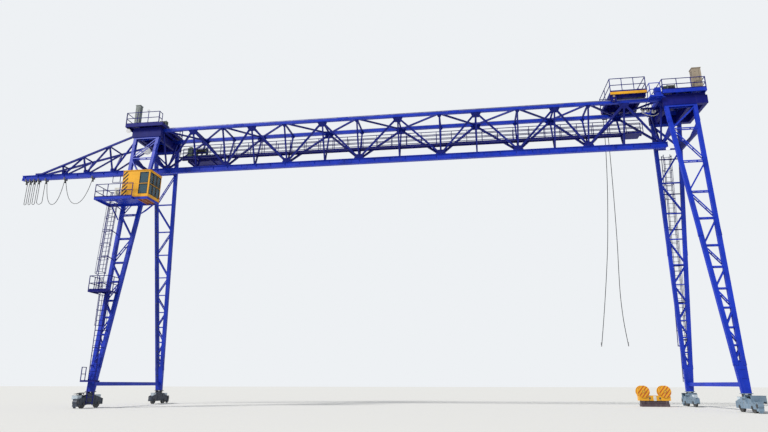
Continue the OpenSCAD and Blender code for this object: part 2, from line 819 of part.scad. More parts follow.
// Middle platform with its railing in front of the near left leg
mid_left = 530;
mid_right = 240;
mid_near_y = low_y + 90;
module middle_platform() {
    x0 = left_x - mid_left;
    l = mid_left + mid_right;
    far = leg_in_y(mid_z);
    w = mid_near_y - far;
    side_w = mid_near_y - leg_out_y(mid_z);
    color("navy") {
        difference() {
            translate([x0, -mid_near_y, mid_z]) {
                translate([0, 0, -plate_t]) cube([l, w, plate_t]);
                translate([0, 0, -65]) cube([l, 20, 65]);
                for (x = [0, l - 20]) translate([x, 0, -65]) cube([20, w, 65]);
                for (s = [-1, 1])
                    translate([mid_left + s * leg_half(mid_z) - 10, 0, -65])
                        cube([20, w, 65]);
            }
            behind_leg();
            translate([left_x + low_x - 150, -low_y - 70, mid_z - 90])
                cube([300, 350, 100]);
        }
        translate([0, 0, mid_z]) {
            rail_x(x0, x0 + l, -mid_near_y + bar / 2, 0, 530, 340, 2);
            for (x = [x0 + bar / 2, x0 + l - bar / 2])
                rail_y(-mid_near_y, -mid_near_y + side_w, x, 0, 530, 300, 2);
        }
    }
}

// Small landing in front of the leg foot with a short ladder to the ground
landing_ladder_w = 230;
module foot_landing() {
    x0 = left_x - 230;
    l = 570;
    w = 250;
    y0 = -low_y - w + 10;
    color("navy") {
        difference() {
            union() {
                translate([x0, y0, landing_z - plate_t]) cube([l, w, plate_t]);
                for (y = [0, w - 16]) translate([x0, y0 + y, landing_z - 50])
                    cube([l, 16, 50]);
                for (x = [0, l - 16]) translate([x0 + x, y0, landing_z - 50])
                    cube([16, w, 50]);
                for (x = [-100, 80]) translate([left_x + x, y0, landing_z - 50])
                    cube([30, w + 200, 50]);
            }
            behind_leg();
        }
        rail_y(y0, y0 + w, x0 + bar / 2, landing_z, 450, 230, 2);
        translate([x0 + l - landing_ladder_w / 2 - 10, y0 + 10, 0]) {
            for (s = [-1, 1]) translate([s * landing_ladder_w / 2 - 10, -10, 100])
                cube([20, 20, landing_z - 100]);
            for (i = [1:4]) translate([-landing_ladder_w / 2, -7, i * rung_step])
                cube([landing_ladder_w, 14, 14]);
        }
    }
}

// Cage of hoops and straps on the climbing side of a ladder
module cage(z0, z1) {
    n = round((z1 - z0) / 560);
    translate([0, -60, 0]) {
        for (i = [0:n]) translate([0, 0, z0 + (z1 - z0 - 16) * i / n]) {
            rotate(150) rotate_extrude(angle = 240, $fn = 24)
                translate([cage_r - 10, 0]) square([10, 16]);
        }
        for (a = [170, 220, 270, 320, 370])
            translate([0, 0, z0]) rotate(a)
                translate([cage_r - 12, -8, 0]) cube([14, 16, z1 - z0]);
    }
    for (s = [-1, 1], i = [0:n])
        translate([s > 0 ? ladder_w / 2 - 10 : -cage_r, -12,
            z0 + (z1 - z0 - 16) * i / n])
            cube([cage_r - ladder_w / 2 + 10, 12, 16]);
}

// Ladder of two stiles and rungs, with a cage between two heights
module ladder(l, cage_from, cage_to) {
    for (s = [-1, 1]) translate([s * ladder_w / 2 - 10, -10, 0]) cube([20, 20, l]);
    for (i = [1:floor(l / rung_step)])
        translate([-ladder_w / 2, -7, i * rung_step - 60]) cube([ladder_w, 14, 14]);
    if (cage_to > cage_from) cage(cage_from, cage_to);
}

// Ladders on the near left leg: upright from the landing, then leaning to the cabin
module lower_ladder() {
    translate([left_x + low_x, -low_y, landing_z + eps]) {
        ladder(mid_z + 450 - landing_z, 0, 0);
        rotate(180) cage(mid_z - landing_z - 1250, mid_z - landing_z - 130);
    }
    for (z = [1400, 2000, 2600], s = [-1, 1])
        translate([left_x + low_x + s * ladder_w / 2 - 10, -low_y, z])
            cube([20, low_y - leg_in_y(z), 24]);
}
module upper_ladder() {
    s0 = (mid_z - 20 - foot_z) / cos(leg_lean);
    l = (cabin_deck_z + 460 - mid_z) / cos(leg_lean);
    stop = (cabin_z - 30 - mid_z) / cos(leg_lean);
    slope = (up_x(cabin_z) - up_x(mid_z)) / (cabin_z - mid_z) * cos(leg_lean);
    translate([left_x, -wheel_base / 2, foot_z])
    rotate([-leg_lean, 0, 0])
    translate([-up_x(mid_z), -up_off, s0]) rotate([0, -atan(slope), 0]) {
        ladder(l, 620, stop);
        for (s = [260, 1300, 2340, stop - 60]) {
            translate([ladder_w / 2 - 12, 0, s]) cube([24, up_off, 24]);
            translate([-ladder_w / 2, 0, s]) cube([ladder_w, 30, 24]);
        }
    }
}
module left_ladders() {
    color("navy") difference() {
        union() {
            lower_ladder();
            upper_ladder();
        }
        behind_leg();
        translate([left_x - up_x(mid_z) - 180, -up_y(mid_z) - 60, mid_z - 80])
            cube([360, 120, 80 + eps]);
    }
}

// Ladder on the outer face of the far right leg, carried by bars across its chords
module right_ladder() {
    z0 = foot_z + 310;
    l = (low_top - 55 - z0) / cos(leg_lean);
    s0 = (z0 - foot_z) / cos(leg_lean);
    off = leg_chord / 2 + 150;
    n = 6;
    color("navy")
    translate([right_x, wheel_base / 2, foot_z])
    rotate([leg_lean, 0, 0]) {
        translate([0, off, s0]) rotate(180) ladder(l, 1300, l - 60);
        for (i = [0:n]) {
            s = s0 + 150 + (l - 400) * i / n;
            half = flat_half(s) + leg_chord / 4;
            translate([-half, leg_chord / 2 + eps, s]) cube([2 * half, 24, 40]);
            for (k = [-1, 1]) translate([k * ladder_w / 2 - 12, leg_chord / 2 + eps, s])
                cube([24, 150, 24]);
        }
    }
}

// Bogie: two side plates on their wheels, end blocks and a foot seat
side_gap = wheel_w + 24;
module bogie(x, y, out) {
    hub = wheel_d / 2;
    translate([x, y, 0]) {
        for (s = [-1, 1]) translate([s * (side_gap / 2 + 12), 0, 0])
            along_x(24) difference() {
                polygon([[-bogie_l / 2, 110], [bogie_l / 2, 110],
                    [bogie_l / 2, 300], [260, bogie_h], [-260, bogie_h],
                    [-bogie_l / 2, 300]]);
                for (k = [-1, 1]) translate([k * wheel_gap / 2, hub])
                    circle(d = axle_d + 2 * eps);
            }
        for (k = [-1, 1]) translate([0, k * (bogie_l / 2 - 40), 140])
            block(side_gap + 4, 80, 150);
        translate([0, 0, 130]) block(side_gap + 4, 200, bogie_h - 130);
        // Rocker seat of the leg: lugs, pin and foot plate
        pin_z = (bogie_h + 30 + foot_z - 20) / 2;
        translate([0, 0, bogie_h]) block(240, 300, 30);
        translate([0, 0, bogie_h]) block(130, 160, pin_z - bogie_h);
        for (s = [-1, 1]) translate([s * 90, 0, bogie_h]) block(26, 180, foot_z - bogie_h);
        translate([-115, 0, pin_z]) rotate([0, 90, 0]) cylinder(h = 230, d = 60);
        translate([0, 0, foot_z - 20]) block(300, 200, 20);
        // Rail clamp at the outer end
        translate([0, out * (bogie_l / 2 + 60), 60]) block(150, 120, 250);
        translate([-75, out * (bogie_l / 2 + 60), 200]) rotate([0, 90, 0])
            cylinder(h = 150, d = 160);
    }
}
module left_bogies() {
    color("darkslategray") for (s = [-1, 1]) bogie(left_x, s * wheel_base / 2, s);
}
module right_bogies() {
    color("lightslategray") for (s = [-1, 1]) bogie(right_x, s * wheel_base / 2, s);
}
module travel_wheels() {
    color("dimgray")
    for (x = [left_x, right_x], y = [-1, 1], k = [-1, 1])
        translate([x, y * wheel_base / 2 + k * wheel_gap / 2, wheel_d / 2])
        rotate([0, 90, 0]) {
            cylinder(h = wheel_w - 20, d = wheel_d - 26, center = true);
            for (s = [-1, 1]) translate([0, 0, s * (wheel_w / 2 - 6)])
                cylinder(h = 12, d = wheel_d, center = true);
            cylinder(h = side_gap + 60, d = axle_d, center = true);
        }
}

// Travel drives: a gearbox on the bogie side with a motor and its cover
drive_z = 150;
module drive(out) {
    h = bogie_h - drive_z - 20;
    block(150, 230, h);
    translate([0, 0, h]) block(120, 180, 18);
    translate([0, out * 100, 190]) rotate([-out * 90, 0, 0])
        cylinder(h = 330, d = 150);
    translate([0, out * 430, 190]) rotate([-out * 90, 0, 0])
        cylinder(h = 60, d = 120);
}
module travel_drives() {
    for (x = [left_x, right_x], s = [-1, 1])
        color(x < 0 ? "darkslategray" : "lightslategray")
        translate([x + (x < 0 ? -1 : 1) * (side_gap / 2 + 24 + 75 + eps), 0, 0])
            translate([0, s * (wheel_base / 2 + 60), drive_z]) drive(s);
}

// Festoon: small carriers under the monorail, with the cable hung between
carrier_x = [5940, 5750, 5560, 5350, 5000, 4100, 2800];
module festoon_carriers() {
    color("dimgray") for (d = carrier_x) translate([left_x - d, 0, clear_h]) {
        translate([0, 0, -60]) block(70, low_chord_w + 50, 20);
        for (s = [-1, 1]) {
            translate([0, s * (low_chord_w / 2 + 15), -60]) block(60, 10, 110);
            translate([0, s * (low_chord_w / 2 + 10), flange_t + 16 + eps])
                rotate([s * 90, 0, 0]) cylinder(h = 40, d = 32);
        }
        translate([0, 0, -100]) block(50, 60, 41);
    }
}

// Sweeps a round cable along points, one ring of sides at each
cord_sides = 8;
function unit(v) = v / norm(v);
function ring(p, t, r) =
    let (side = unit(cross(t, [0, 1, 0.001])), up = cross(side, t))
    [for (k = [0:cord_sides - 1])
        p + r * (cos(k * 360 / cord_sides) * side + sin(k * 360 / cord_sides) * up)];
module cord(points, d) {
    n = len(points);
    rings = [for (i = [0:n - 1])
        let (t = unit(points[min(i + 1, n - 1)] - points[max(i - 1, 0)]))
        each ring(points[i], t, d / 2)];
    sides = [for (i = [0:n - 2], k = [0:cord_sides - 1])
        [i * cord_sides + k, i * cord_sides + (k + 1) % cord_sides,
            (i + 1) * cord_sides + (k + 1) % cord_sides, (i + 1) * cord_sides + k]];
    start = [for (k = [cord_sides - 1:-1:0]) k];
    end = [for (k = [0:cord_sides - 1]) (n - 1) * cord_sides + k];
    polyhedron(points = rings, faces = concat([start], sides, [end]));
}

// Cable loops between the carriers, each loop a hanging curve
loop_drop = [950, 950, 950, 950, 980, 1000];
cable_d = 22;
cable_z = clear_h - 100 - cable_d / 2 - eps;
loop_steps = 8;
function loop_point(i, t) =
    let (a = carrier_x[i], b = carrier_x[i + 1], s = 2 * t - 1)
    [left_x - (a + (b - a) * t), 0, cable_z - loop_drop[i] * (1 - s * s)];
module festoon_cable() {
    color("black")
    cord([for (i = [0:len(loop_drop) - 1], k = [0:loop_steps - 1])
        loop_point(i, k / loop_steps),
        loop_point(len(loop_drop) - 1, 1)], cable_d);
}

// Trolley: side beams over the rails, cross beams and a plated deck
wheel_y = chord_gauge / 2;
wheel_z = rail_top + run_gap + trolley_wheel_d / 2;
wheel_pitch = 900;
module trolley_frame() {
    color("navy") translate([trolley_cx, 0, 0]) {
        for (s = [-1, 1]) translate([0, s * wheel_y, trolley_base])
            difference() {
                block(trolley_l, 150, edge_z - trolley_base + edge_h - 20);
                for (k = [-1, 1]) translate([k * wheel_pitch / 2, 0, -1])
                    block(trolley_wheel_d + 50, 96, 190);
            }
        for (x = [-trolley_l / 2 + 50, -200, 200, trolley_l / 2 - 50])
            translate([x, 0, edge_z])
                block(100, 2 * trolley_half - 60, edge_h - 20);
        translate([0, 0, trolley_deck - 20])
            block(trolley_l, 2 * trolley_half, 20);
        // Rope sheaves between cheeks that hang outside the chords
        for (s = [-1, 1]) translate([sheave_x, s * rope_y, 0]) {
            for (k = [-1, 1]) translate([0, k * 27, trolley_base - 190])
                block(200, 10, 320);
            translate([0, 0, rope_top]) rotate([90, 0, 0])
                cylinder(h = 50, d = 2 * (rope_off - rope_d / 2 - eps), center = true);
        }
    }
}
module trolley_edge_beams() {
    color("gold") for (s = [-1, 1])
        translate([trolley_cx, s * (trolley_half - 15), edge_z])
            block(trolley_l, 30, edge_h - 20);
}
module trolley_railing() {
    x0 = trolley_cx - trolley_l / 2;
    x1 = trolley_cx + trolley_l / 2;
    color("navy") {
        for (s = [-1, 1]) rail_x(x0, x1, s * (trolley_half - bar / 2),
            trolley_deck, 540, 430, 2);
        for (x = [x0 + bar / 2, x1 - bar / 2])
            rail_y(-trolley_half + bar + eps, trolley_half - bar - eps, x,
                trolley_deck, 540, 850, 2);
    }
}
module trolley_wheels() {
    color("dimgray")
    for (s = [-1, 1], k = [-1, 1])
        translate([trolley_cx + k * wheel_pitch / 2, s * wheel_y, wheel_z])
        rotate([90, 0, 0]) {
            cylinder(h = 60, d = trolley_wheel_d, center = true);
            for (f = [-1, 1]) translate([0, 0, f * 27])
                cylinder(h = 12, d = trolley_wheel_d + 24, center = true);
            cylinder(h = 95, d = 40, center = true);
        }
}
module trolley_hoist() {
    translate([trolley_cx, 0, trolley_deck]) {
        color("slategray") {
            translate([0, 0, 0]) block(700, 900, 40);
            for (s = [-1, 1]) translate([0, s * 330, 40]) block(300, 40, 230);
        }
        color("dimgray") {
            translate([0, -330, 170]) rotate([-90, 0, 0]) cylinder(h = 660, d = 240);
            translate([-240, 250, 40]) block(180, 260, 220);
            translate([-240, -250, 130]) rotate([-90, 0, 0]) cylinder(h = 380, d = 150);
        }
    }
}

// Slack hoist ropes that hang from the rear sheave, points chosen by hand
rope_d = 24;
rope_off = 60;
rope_y = 775;
rope_top = trolley_base - 120;
sheave_x = -540;
near_rope = [[-480, 775, 11060], [-482, 773, 10700], [-486, 770, 10300],
    [-500, 765, 9400], [-530, 760, 8200], [-570, 750, 7000], [-620, 740, 5800],
    [-680, 730, 4800], [-720, 720, 3900], [-710, 710, 3000], [-640, 700, 2100]];
far_rope = [[-600, 775, 11060], [-603, 774, 10700], [-610, 772, 10300],
    [-650, 768, 9400], [-730, 764, 8200], [-840, 760, 7000], [-970, 756, 5800],
    [-1110, 750, 4800], [-1250, 745, 3900], [-1400, 740, 3000], [-1560, 735, 2100]];
function hung(points) = [for (p = points) p + [trolley_cx, 0, 0]];
module near_hoist_rope() { color("black") cord(hung(near_rope), rope_d); }
module far_hoist_rope() { color("black") cord(hung(far_rope), rope_d); }

// Hook traverse set down on the ground behind the trolley
traverse_x = right_x - 1350;
traverse_y = 2100;
traverse_l = 1100;
sheave_gap = 750;
sheave_d = 430;
sheave_z = 530;
traverse_foot = 210;
module hook_traverse() {
    z0 = traverse_foot;
    color("gold") translate([traverse_x, traverse_y, 0]) {
        for (s = [-1, 1]) translate([0, s * 110, 0]) along_y(24)
            polygon([[-traverse_l / 2, z0], [traverse_l / 2, z0],
                [traverse_l / 2, z0 + 180], [sheave_gap / 2 + 80, sheave_z + 45],
                [sheave_gap / 2 - 80, sheave_z + 45], [sheave_gap / 2 - 150, z0 + 180],
                [-sheave_gap / 2 + 150, z0 + 180], [-sheave_gap / 2 + 80, sheave_z + 45],
                [-sheave_gap / 2 - 80, sheave_z + 45], [-traverse_l / 2, z0 + 180]]);
        translate([0, 0, z0]) block(traverse_l, 200, 40);
        for (s = [-1, 1]) translate([s * (traverse_l / 2 - 12), 0, z0])
            block(24, 200, 160);
        for (s = [-1, 1]) translate([s * sheave_gap / 2, 0, sheave_z])
            rotate([90, 0, 0]) cylinder(h = 250, d = 60, center = true);
    }
}
module traverse_base() {
    color("dimgray") translate([traverse_x, traverse_y, 0]) {
        block(traverse_l - 120, 300, 90);
        block(90, 190, traverse_foot - eps);
        for (s = [-1, 1]) translate([s * 420, 0, 80])
            block(120, 240, traverse_foot - 80 - eps);
        for (s = [-1, 1]) translate([0, s * 85, 90])
            block(traverse_l - 160, 30, traverse_foot - 90 - eps);
    }
}
module traverse_sheaves() {
    color("gold") for (s = [-1, 1], k = [-1, 1])
        translate([traverse_x + s * sheave_gap / 2, traverse_y, sheave_z])
        rotate([90, 0, 0]) difference() {
            translate([0, 0, k * 134 - 10]) cylinder(h = 20, d = sheave_d);
            translate([0, 0, k * 134 - 12]) cylinder(h = 24, d = 60 + 2 * eps);
        }
    color("dimgray") for (s = [-1, 1])
        translate([traverse_x + s * sheave_gap / 2, traverse_y, sheave_z])
        rotate([90, 0, 0]) difference() {
            cylinder(h = 120, d = sheave_d - 60, center = true);
            cylinder(h = 122, d = 60 + 2 * eps, center = true);
        }
}

lower_chord();
front_top_chord();
rear_top_chord();
front_truss_web();
rear_truss_web();
top_bracing();
cantilever_stays();
walkway_deck();
walkway_railings();
winch_platform();
bridge_winch();
near_left_leg();
far_left_leg();
near_right_leg();
far_right_leg();
tie_beams();
crossheads();
left_head_frame();
right_head_frame();
left_head_deck();
right_head_deck();
left_head_railing();
right_head_railing();
boarding_platform();
left_cabinet();
right_cabinet();
head_winches();
cabin_platform();
cabin_railing();
cabin_floor();
cabin_walls();
cabin_roof();
cabin_windows();
cooling_unit();
middle_platform();
foot_landing();
left_ladders();
right_ladder();
left_bogies();
right_bogies();
travel_wheels();
travel_drives();
festoon_carriers();
festoon_cable();
trolley_frame();
trolley_edge_beams();
trolley_railing();
trolley_wheels();
trolley_hoist();
near_hoist_rope();
far_hoist_rope();
hook_traverse();
traverse_base();
traverse_sheaves();
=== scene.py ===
import json
import math

import bmesh
import bpy
from mathutils import Matrix, Vector


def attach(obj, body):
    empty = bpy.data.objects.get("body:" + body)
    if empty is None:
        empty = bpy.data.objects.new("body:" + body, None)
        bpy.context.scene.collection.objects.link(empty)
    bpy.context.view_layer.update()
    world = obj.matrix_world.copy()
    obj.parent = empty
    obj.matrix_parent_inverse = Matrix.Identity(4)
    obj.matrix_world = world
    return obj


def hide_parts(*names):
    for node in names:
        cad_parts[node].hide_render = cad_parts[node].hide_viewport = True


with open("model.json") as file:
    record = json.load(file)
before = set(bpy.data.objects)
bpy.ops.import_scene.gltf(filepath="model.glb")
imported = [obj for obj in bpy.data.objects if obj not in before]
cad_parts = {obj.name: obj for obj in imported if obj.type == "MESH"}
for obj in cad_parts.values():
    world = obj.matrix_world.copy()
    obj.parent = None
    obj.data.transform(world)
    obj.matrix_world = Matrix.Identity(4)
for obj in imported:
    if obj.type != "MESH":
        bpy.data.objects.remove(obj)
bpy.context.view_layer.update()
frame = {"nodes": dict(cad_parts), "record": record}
nodes = frame["nodes"]
both = (-1, 1)                   # the two sides of all that is symmetrical
print("frame loaded:", len(nodes), "nodes")


# Camera: stands near the ground on the cabin side and looks up along +Y

camera = {
    "place": (5.025, -21.44, 0.795),
    "look": (-0.1355, 0.9506, 0.2793),
    "roll": 0.0009,
    "lens": 27.06,
    "sensor": 36.0,              # millimetres wide
    "reach": 400.0,
}


def addObject(name, data):
    obj = bpy.data.objects.new(name, data)
    bpy.context.scene.collection.objects.link(obj)
    return obj


def makeCamera(values):
    data = bpy.data.cameras.new("camera")
    data.lens = values["lens"]
    data.sensor_width = values["sensor"]
    data.clip_end = values["reach"]
    cam = addObject("camera", data)
    turn = Vector(values["look"]).to_track_quat("-Z", "Y").to_matrix().to_4x4()
    cam.matrix_world = (Matrix.Translation(values["place"]) @ turn
                        @ Matrix.Rotation(values["roll"], 4, "Z"))
    bpy.context.scene.camera = cam


makeCamera(camera)


# Light: a broad pale sky and one large soft lamp from the upper left

light = {
    "skyLight": "#e8eef6",
    "skyStrength": 0.52,
    "backdrop": "#eef1f4",
    "floor": "#d9d8d4",
    "floorHalf": 150.0,
    "floorDrop": 0.002,
    "sunStrength": 3.5,
    "sunAngle": 12.0,            # degrees, soft edges
    "sunColour": (1.0, 0.98, 0.95),
    "sunFrom": (-0.60, -0.40, 0.69),
}


def toLinear(text):
    out = []
    for k in (1, 3, 5):
        c = int(text[k:k + 2], 16) / 255.0
        out.append(c / 12.92 if c <= 0.04045 else ((c + 0.055) / 1.055) ** 2.4)
    return (*out, 1.0)


def tint(colour, factor, lift=0.0):
    return tuple(min(1.0, c * factor + lift) for c in toLinear(colour)[:3]) + (1.0,)


def feed(tree, node, inputs):
    # A value may be a number, a socket, a node's first output, or a list of these
    for name, value in inputs.items():
        for part in value if isinstance(value, list) else [value]:
            if isinstance(part, bpy.types.Node):
                part = part.outputs[0]
            if isinstance(part, bpy.types.NodeSocket):
                tree.links.new(part, node.inputs[name])
            else:
                node.inputs[name].default_value = part


def addNode(tree, kind, inputs=None, stops=(), **settings):
    node = tree.nodes.new(kind)
    for name, value in settings.items():
        setattr(node, name, value)
    for k, (at, colour) in enumerate(stops):
        node.color_ramp.elements[k].position = at
        node.color_ramp.elements[k].color = colour
    feed(tree, node, inputs or {})
    return node


def makeWorld(values):
    world = bpy.data.worlds.new("sky")
    bpy.context.scene.world = world
    world.use_nodes = True
    tree = world.node_tree
    tree.nodes.clear()
    path = addNode(tree, "ShaderNodeLightPath")
    lit = addNode(tree, "ShaderNodeBackground", {
        "Color": toLinear(values["skyLight"]), "Strength": values["skyStrength"]})
    seen = addNode(tree, "ShaderNodeBackground", {
        "Color": toLinear(values["backdrop"]), "Strength": 1.0})
    anySeen = addNode(tree, "ShaderNodeMath", {
        0: path.outputs["Is Camera Ray"], 1: path.outputs["Is Transmission Ray"]},
        operation="MAXIMUM")
    mix = addNode(tree, "ShaderNodeMixShader", {0: anySeen, 1: lit, 2: seen})
    addNode(tree, "ShaderNodeOutputWorld", {"Surface": mix})


def makeSun(values):
    data = bpy.data.lights.new("sun", "SUN")
    data.energy = values["sunStrength"]
    data.angle = math.radians(values["sunAngle"])
    data.color = values["sunColour"]
    sun = addObject("sun", data)
    sun.rotation_euler = Vector(values["sunFrom"]).to_track_quat("Z", "Y").to_euler()


def startFinish(name):
    mat = bpy.data.materials.new(name)
    mat.use_nodes = True
    tree = mat.node_tree
    coord = addNode(tree, "ShaderNodeTexCoord").outputs["Object"]
    return mat, tree, tree.nodes["Principled BSDF"], coord


def makeFloor(values):
    mat, tree, bsdf, _ = startFinish("pale floor")
    feed(tree, bsdf, {"Base Color": toLinear(values["floor"]), "Roughness": 0.9})
    mesh = bpy.data.meshes.new("floor")
    half = values["floorHalf"]
    mesh.from_pydata([(-half, -half, 0), (half, -half, 0), (half, half, 0), (-half, half, 0)],
                     [], [(0, 1, 2, 3)])
    mesh.materials.append(mat)
    floor = addObject("floor", mesh)
    floor.location.z = -values["floorDrop"]


makeWorld(light)
makeSun(light)
makeFloor(light)
bpy.context.scene.view_settings.view_transform = "Standard"
print("stage made")


# Paint: all finishes are worked out in metres on Object coordinates

dirt = {"dust": "#a39b8c", "rust": "#7a4a2c"}
paints = {
    # finish: name, colour, roughness, share of dust, share of rust, specular level
    "structure_blue": ("structure enamel", "#0a30b2", 0.4, 0.09, 0.0, 0.28),
    # The structure's blue made darker for the lattice members: painted shade
    "painted_shade_web_blue": ("web enamel darkened as painted shade", "#091b82", 0.45, 0.07, 0.0, 0.2),
    "dark_blue": ("dark enamel", "#081070", 0.46, 0.05, 0.0, 0.16),
    "cabin_yellow": ("yellow enamel", "#f0ad22", 0.36, 0.16, 0.0, 0.4),
    "winch_green": ("winch enamel", "#6b7b70", 0.5, 0.4, 0.0, 0.4),
    "cabinet_grey": ("cabinet grey", "#7e8683", 0.45, 0.3, 0.0, 0.4),
    "cabinet_tan": ("cabinet tan", "#9a8d7b", 0.45, 0.3, 0.0, 0.4),
    "gear_grey": ("gear grey", "#748a9d", 0.45, 0.4, 0.25, 0.4),
    "gear_dark": ("gear dark", "#3a4250", 0.5, 0.4, 0.2, 0.4),
    "rusty_floor": ("red lead primer", "#9b5f3e", 0.7, 0.3, 0.5, 0.4),
    "unit_white": ("unit white", "#e4e3da", 0.4, 0.3, 0.0, 0.4),
    "trolley_grey": ("trolley grey", "#5f6a74", 0.5, 0.35, 0.1, 0.4),
    "warning_black": ("warning black enamel", "#17181b", 0.4, 0.2, 0.0, 0.4),
    "signal_orange": ("signal orange enamel", "#c2571f", 0.42, 0.25, 0.15, 0.4),
    "pale_box": ("pale box enamel", "#c2cfd8", 0.42, 0.3, 0.0, 0.4),
    "old_primer": ("old brown primer", "#51424a", 0.6, 0.35, 0.35, 0.4),
}


def paintedSteel(name, colour, rough, grime, rust, shine):
    # Alkyd paint brushed on rolled steel: soft gloss, faint tone changes from
    # hand painting, dust that washes down, and rust spots where it is asked for
    mat, tree, bsdf, coord = startFinish(name)
    stretch = addNode(tree, "ShaderNodeMapping", {"Vector": coord, "Scale": (9.0, 9.0, 0.7)})
    tone, fine, streak, spots = [
        addNode(tree, "ShaderNodeTexNoise", {
            "Vector": vector, "Scale": scale, "Detail": detail, "Roughness": grain})
        for vector, scale, detail, grain in (
            (coord, 1.4, 6.0, 0.6), (coord, 38.0, 4.0, 0.65),
            (stretch, 1.0, 5.0, 0.7), (coord, 7.0, 8.0, 0.72))]
    out = addNode(tree, "ShaderNodeValToRGB", {"Fac": tone}, (
        (0.32, tint(colour, 0.78)), (0.68, tint(colour, 1.16, 0.006)))).outputs[0]
    for cloud, low, high, share, kind in ((streak, 0.52, 0.86, grime, "dust"),
                                          (spots, 0.60, 0.72, rust, "rust")):
        if share > 0.0:
            mask = addNode(tree, "ShaderNodeMapRange", {
                "Value": cloud, "From Min": low, "From Max": high, "To Min": 0.0,
                "To Max": share})
            out = addNode(tree, "ShaderNodeMix", {0: mask, 6: out, 7: toLinear(dirt[kind])},
                          data_type="RGBA").outputs[2]
    gloss = addNode(tree, "ShaderNodeMapRange", {
        "Value": fine, "From Min": 0.3, "From Max": 0.7,
        "To Min": rough - 0.08, "To Max": rough + 0.12})
    bump = addNode(tree, "ShaderNodeBump", {"Height": fine, "Strength": 0.12, "Distance": 0.002})
    feed(tree, bsdf, {"Base Color": out, "Roughness": gloss, "Normal": bump,
                      "Specular IOR Level": shine, "IOR": 1.5})
    return mat


def rolledSteel(name, colour, rough):
    # Bare mill steel that runs in service: dull grey with bright rubbed patches
    mat, tree, bsdf, coord = startFinish(name)
    patch = addNode(tree, "ShaderNodeTexNoise", {
        "Vector": coord, "Scale": 9.0, "Detail": 6.0, "Roughness": 0.6})
    ramp = addNode(tree, "ShaderNodeValToRGB", {"Fac": patch}, (
        (0.35, tint(colour, 0.6)), (0.7, toLinear(colour))))
    gloss = addNode(tree, "ShaderNodeMapRange", {
        "Value": patch, "From Min": 0.3, "From Max": 0.7,
        "To Min": rough - 0.1, "To Max": rough + 0.15})
    feed(tree, bsdf, {"Base Color": ramp, "Roughness": gloss, "Metallic": 0.8})
    return mat


def windowGlass():
    # Float glass, slightly green, seen against a dim cabin
    mat, tree, bsdf, coord = startFinish("cabin glass")
    film = addNode(tree, "ShaderNodeTexNoise", {"Vector": coord, "Scale": 6.0, "Detail": 4.0})
    gloss = addNode(tree, "ShaderNodeMapRange", {"Value": film, "To Min": 0.03, "To Max": 0.14})
    feed(tree, bsdf, {"Base Color": toLinear("#5d7c8a"), "Roughness": gloss,
                      "Transmission Weight": 0.55, "IOR": 1.5})
    return mat


def lampGlass():
    # Pressed prismatic glass: milky, with a fine ribbed gloss and a faint white glow, painted
    # light on a lamp that is not lit
    mat, tree, bsdf, coord = startFinish("lamp glass with painted glow")
    ribs = addNode(tree, "ShaderNodeTexWave", {
        "Vector": coord, "Scale": 24.0, "Distortion": 0.3}, bands_direction="X").outputs["Fac"]
    bump = addNode(tree, "ShaderNodeBump", {"Height": ribs, "Strength": 0.3, "Distance": 0.002})
    ramp = addNode(tree, "ShaderNodeValToRGB", {"Fac": ribs}, (
        (0.0, toLinear("#e4e9ec")), (1.0, toLinear("#ffffff"))))
    # The faint white emission is a painted glow; the lamp is not lit
    feed(tree, bsdf, {"Base Color": ramp, "Normal": bump, "Roughness": 0.18,
                      "Emission Color": toLinear("#ffffff"), "Emission Strength": 0.12})
    return mat


def cableRubber(name, colour):
    # Moulded rubber or rope in grease: near black, scuffed a little paler
    mat, tree, bsdf, coord = startFinish(name)
    scuff = addNode(tree, "ShaderNodeTexNoise", {"Vector": coord, "Scale": 24.0, "Detail": 4.0})
    ramp = addNode(tree, "ShaderNodeValToRGB", {"Fac": scuff}, (
        (0.0, tint(colour, 0.7)), (1.0, tint(colour, 1.4, 0.004))))
    feed(tree, bsdf, {"Base Color": ramp, "Roughness": 0.6})
    return mat


finishes = {name: paintedSteel(*values) for name, values in paints.items()}
finishes.update({
    "dark_steel": rolledSteel("running steel", "#6f6f70", 0.5),
    # Rail steel lightened to a pale lilac: a painted glint of the sun on the rail heads and
    # flange edges
    "rail_wear_and_glint": rolledSteel("worn rail head with painted glint", "#8f93c4", 0.42),
    "cable_rubber": cableRubber("cable rubber", "#16181c"),
    "rope_steel": cableRubber("greased rope", "#1c1e22"),
    "window_glass": windowGlass(),
    "lamp_glass": lampGlass(),
})
# Each node takes the finish named by its slot in the record, or its own finish below
slotOf = {entry["node"]: entry["material_slot"] for entry in frame["record"]["subparts"]}
# The left head deck is given the dark enamel as painted shade; the traverse base takes an old
# primer
ownFinish = {"left_head_deck": "dark_blue", "traverse_base": "old_primer"}
# The lattice members take the darker blue as painted shade
for lattice in ("front_truss_web", "rear_truss_web", "top_bracing", "cantilever_stays",
                "crossheads"):
    ownFinish[lattice] = "painted_shade_web_blue"


def setMaterial(obj, mat):
    obj.data.materials.clear()
    obj.data.materials.append(mat)


for nodeName, cadNode in nodes.items():
    setMaterial(cadNode, finishes[ownFinish.get(nodeName, slotOf[nodeName])])
print("CAD nodes painted")


# Geometry Nodes: each tree has named inputs and ends in plain, coloured mesh

def startTree(name, sizes):
    tree = bpy.data.node_groups.new(name, "GeometryNodeTree")

    def addSocket(label, kind, way="INPUT"):
        return tree.interface.new_socket(name=label, in_out=way, socket_type="NodeSocket" + kind)

    addSocket("Geometry", "Geometry")
    for label, value in sizes.items():
        addSocket(label, "Int" if isinstance(value, int) else "Float").default_value = value
    addSocket("Finish", "Material")
    addSocket("Geometry", "Geometry", "OUTPUT")
    return tree, addNode(tree, "NodeGroupInput").outputs


def endTree(tree, inputs, made):
    real = addNode(tree, "GeometryNodeRealizeInstances", {"Geometry": made})
    painted = addNode(tree, "GeometryNodeSetMaterial", {
        "Geometry": real, "Material": inputs["Finish"]})
    addNode(tree, "NodeGroupOutput", {"Geometry": painted})
    return tree


